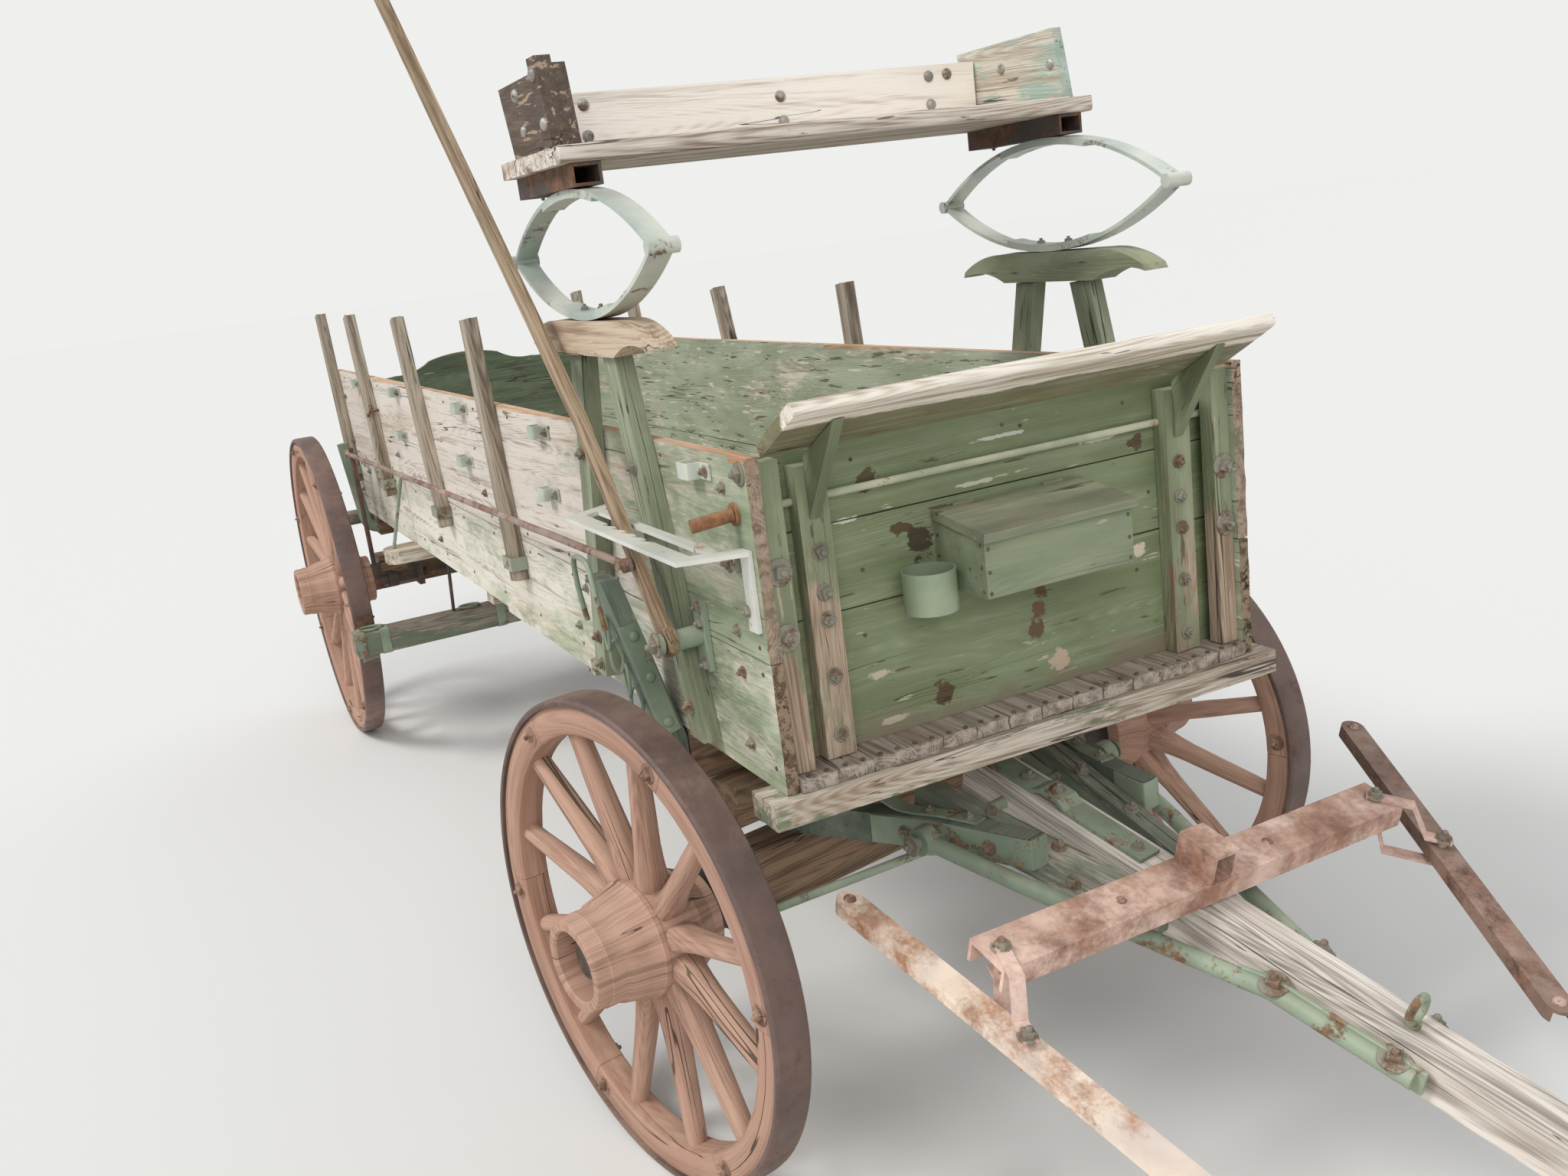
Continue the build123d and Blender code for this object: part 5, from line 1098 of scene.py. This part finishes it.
NAVE = ((0.056, 0.083), (0.056, -0.145), (0.090, -0.145), (0.093, -0.142), (0.093, -0.122),
        (0.0955, -0.120), (0.098, -0.117), (0.108, -0.098), (0.118, -0.086), (0.1205, -0.083),
        (0.1205, -0.072), (0.118, -0.070), (0.120, -0.034), (0.118, -0.002), (0.1205, 0.0), (0.1205, 0.010),
        (0.117, 0.013), (0.110, 0.040), (0.102, 0.074), (0.0965, 0.082), (0.0965, 0.112), (0.094, 0.115),
        (0.0935, 0.140), (0.090, 0.145), (0.074, 0.145), (0.070, 0.141), (0.070, 0.083))


class Woods:
    """The woods of one wheel: points and faces, with each point's place in the grain, wear and shift."""

    def __init__(self):
        self.points, self.faces, self.grain, self.edge, self.shift = [], [], [], [], []

    def skin(self, sections, shift, closed=False):
        """Add one wood from sections of the same number of (point, place in the grain, wear)."""
        base, around = len(self.points), len(sections[0])
        for section in sections:
            for point, place, wear in section:
                self.points.append(point)
                self.grain.append(place)
                self.edge.append(wear)
                self.shift.append(shift)
        self.faces += bands(base, around, len(sections), closed)
        if not closed:
            self.faces += end_faces(base, around, len(sections))


def signed_power(value, power):
    """A power of a number that keeps its sign."""
    return abs(value) ** power * (1 if value >= 0 else -1)


def wheel_woods(radius, spokes, seed):
    """The nave, spokes and felloes of one wheel, in its hub's frame."""
    woods = Woods()
    turn = []
    for a in (2 * pi * i / NAVE_STEPS for i in range(NAVE_STEPS)):
        section = []
        for r, w in NAVE:
            r += 0.0008 * noise.noise(Vector((w * 30, a * 2, seed)))
            section.append((Vector((r * cos(a), r * sin(a), w)), (w, a * 0.1, 0.0), 0.0))
        turn.append(section)
    woods.skin(turn, seed * 0.17, closed=True)
    rim_out = radius - TYRE_T
    rim_in = rim_out - FELLOE
    for i in range(spokes):
        a = 2 * pi * (i + 0.5) / spokes
        out = Vector((cos(a), sin(a), 0))
        start = out * SPOKE_FOOT + Vector((0, 0, -DISH))
        end = out * (rim_in + 0.012)
        run = (end - start).normalized()
        across = Vector((-sin(a), cos(a), 0))
        deep = run.cross(across)
        length = (end - start).length
        sections = []
        for share in (0.0, 0.08, 0.2, 0.32, 0.5, 0.7, 0.86, 1.0):
            power = 2 / (3.6 if share < 0.15 else 2.2)
            half_wide = np.interp(share, SPOKE_AT, SPOKE_WIDE)
            half_deep = np.interp(share, SPOKE_AT, SPOKE_DEEP)
            section = []
            for b in (2 * pi * k / SPOKE_SIDES for k in range(SPOKE_SIDES)):
                u = half_wide * signed_power(cos(b), power)
                v = half_deep * signed_power(sin(b), power)
                bump = 1 + 0.03 * noise.noise(Vector((share * 5 + i * 3, b, seed)))
                p = start + run * (length * share) + across * (u * bump) + deep * (v * bump)
                section.append((p, (share * length, u, v), 0.0))
            sections.append(section)
        woods.skin(sections, seed * 0.31 + i * 0.77)
    half = FELLOE / 2
    outline = (
        (rim_in, -half + 0.012, 1), (rim_in + 0.002, -half + 0.004, 1), (rim_in + 0.008, -half, 0.6),
        (rim_out - 0.004, -half, 0.2), (rim_out, -half + 0.002, 0.5), (rim_out, half - 0.002, 0.5),
        (rim_out - 0.004, half, 0.2), (rim_in + 0.008, half, 0.6), (rim_in + 0.002, half - 0.004, 1),
        (rim_in, half - 0.012, 1), (rim_in - 0.0004, 0.0, 0.4))
    gap = 0.0006 / rim_in
    count = spokes // 2
    for j in range(count):
        first = 2 * pi * j / count + gap
        last = 2 * pi * (j + 1) / count - gap
        sections = []
        for i in range(FELLOE_STEPS + 1):
            a = first + (last - first) * i / FELLOE_STEPS
            section = []
            for r, w, wear in outline:
                rough = r + 0.0012 * noise.noise(Vector((a * 9, w * 30, seed + j)))
                section.append((Vector((rough * cos(a), rough * sin(a), w)), (a * radius, r, w), wear))
            sections.append(section)
        woods.skin(sections, seed * 0.53 + j * 1.31)
    return woods


FRONT_WHEEL, REAR_WHEEL = ("front", 0.5, 12), ("rear", 0.612, 14)
for number, (end, radius, spokes, side) in enumerate((
    (*FRONT_WHEEL, "right"), (*FRONT_WHEEL, "left"), (*REAR_WHEEL, "right"), (*REAR_WHEEL, "left"),
)):
    label = f"wheel_{end}_{side}"
    axle_line = Vector(joint[label]["axis"])
    outward = axle_line if side == "left" else -axle_line
    ahead = -upwards.cross(axle_line)
    hub = frame_at(joint[label]["pos_m"], ahead, outward.cross(ahead), outward)
    woods = wheel_woods(radius, spokes, number + 1)
    made_piece(f"wood_of_{label}", woods.points, woods.faces, wheel_wood, label, "red_paint", hub, [label],
               grain=woods.grain, edge=woods.edge, shift=woods.shift)
    radius -= 0.0002
    half, inside = TYRE_W / 2, radius - TYRE_T
    hoop = [(inside, -half + 0.001), (inside + 0.003, -half), (radius - 0.006, -half),
            (radius - 0.001, -half + 0.004), (radius, -half + 0.012), (radius, 0.0)]
    hoop += [(r, -w) for r, w in hoop[-2::-1]]
    angles = [2 * pi * i / TYRE_STEPS for i in range(TYRE_STEPS)]
    points = [(r * cos(a), r * sin(a), w) for a in angles for r, w in hoop]
    faces = bands(0, len(hoop), TYRE_STEPS, closed=True)
    made_piece(f"iron_of_tyre_{end}_{side}", points, faces, tyre_iron, label, "tyre_iron", hub,
               [f"tyre_{end}_{side}"], grain=[(x + number, y, z) for x, y, z in points])
    rows = []
    middle = inside - FELLOE / 2
    for j in range(spokes // 2):
        for face in (1, -1):
            a = 4 * pi * j / spokes + face * 0.035 / radius
            place = (middle * cos(a), middle * sin(a), face * (FELLOE / 2 - 0.0006))
            rows.append((place, (0, 0, face), 0.75))
    fasten(f"felloe_bolts_of_{label}", "big nut", label, wheel_iron, set_in(hub, rows), 30 + number,
           slot_name="red_paint")
    points, faces = [], []
    for sides, rings_of_nut in ((24, ((0.060, 0.0835), (0.060, 0.0895), (0.058, 0.0905))),
                                (6, ((0.047, 0.0905), (0.047, 0.1085), (0.043, 0.1115), (0.033, 0.1115)))):
        base = len(points)
        for r, w in rings_of_nut:
            points += round_points(r, w, sides)
        faces += bands(base, sides, len(rings_of_nut)) + end_faces(base, sides, len(rings_of_nut))
    body = "fore_carriage" if end == "front" else "bed"
    made_piece(f"axle_nut_{end}_{side}", points, faces, nut_iron, body, "dark_steel", hub)
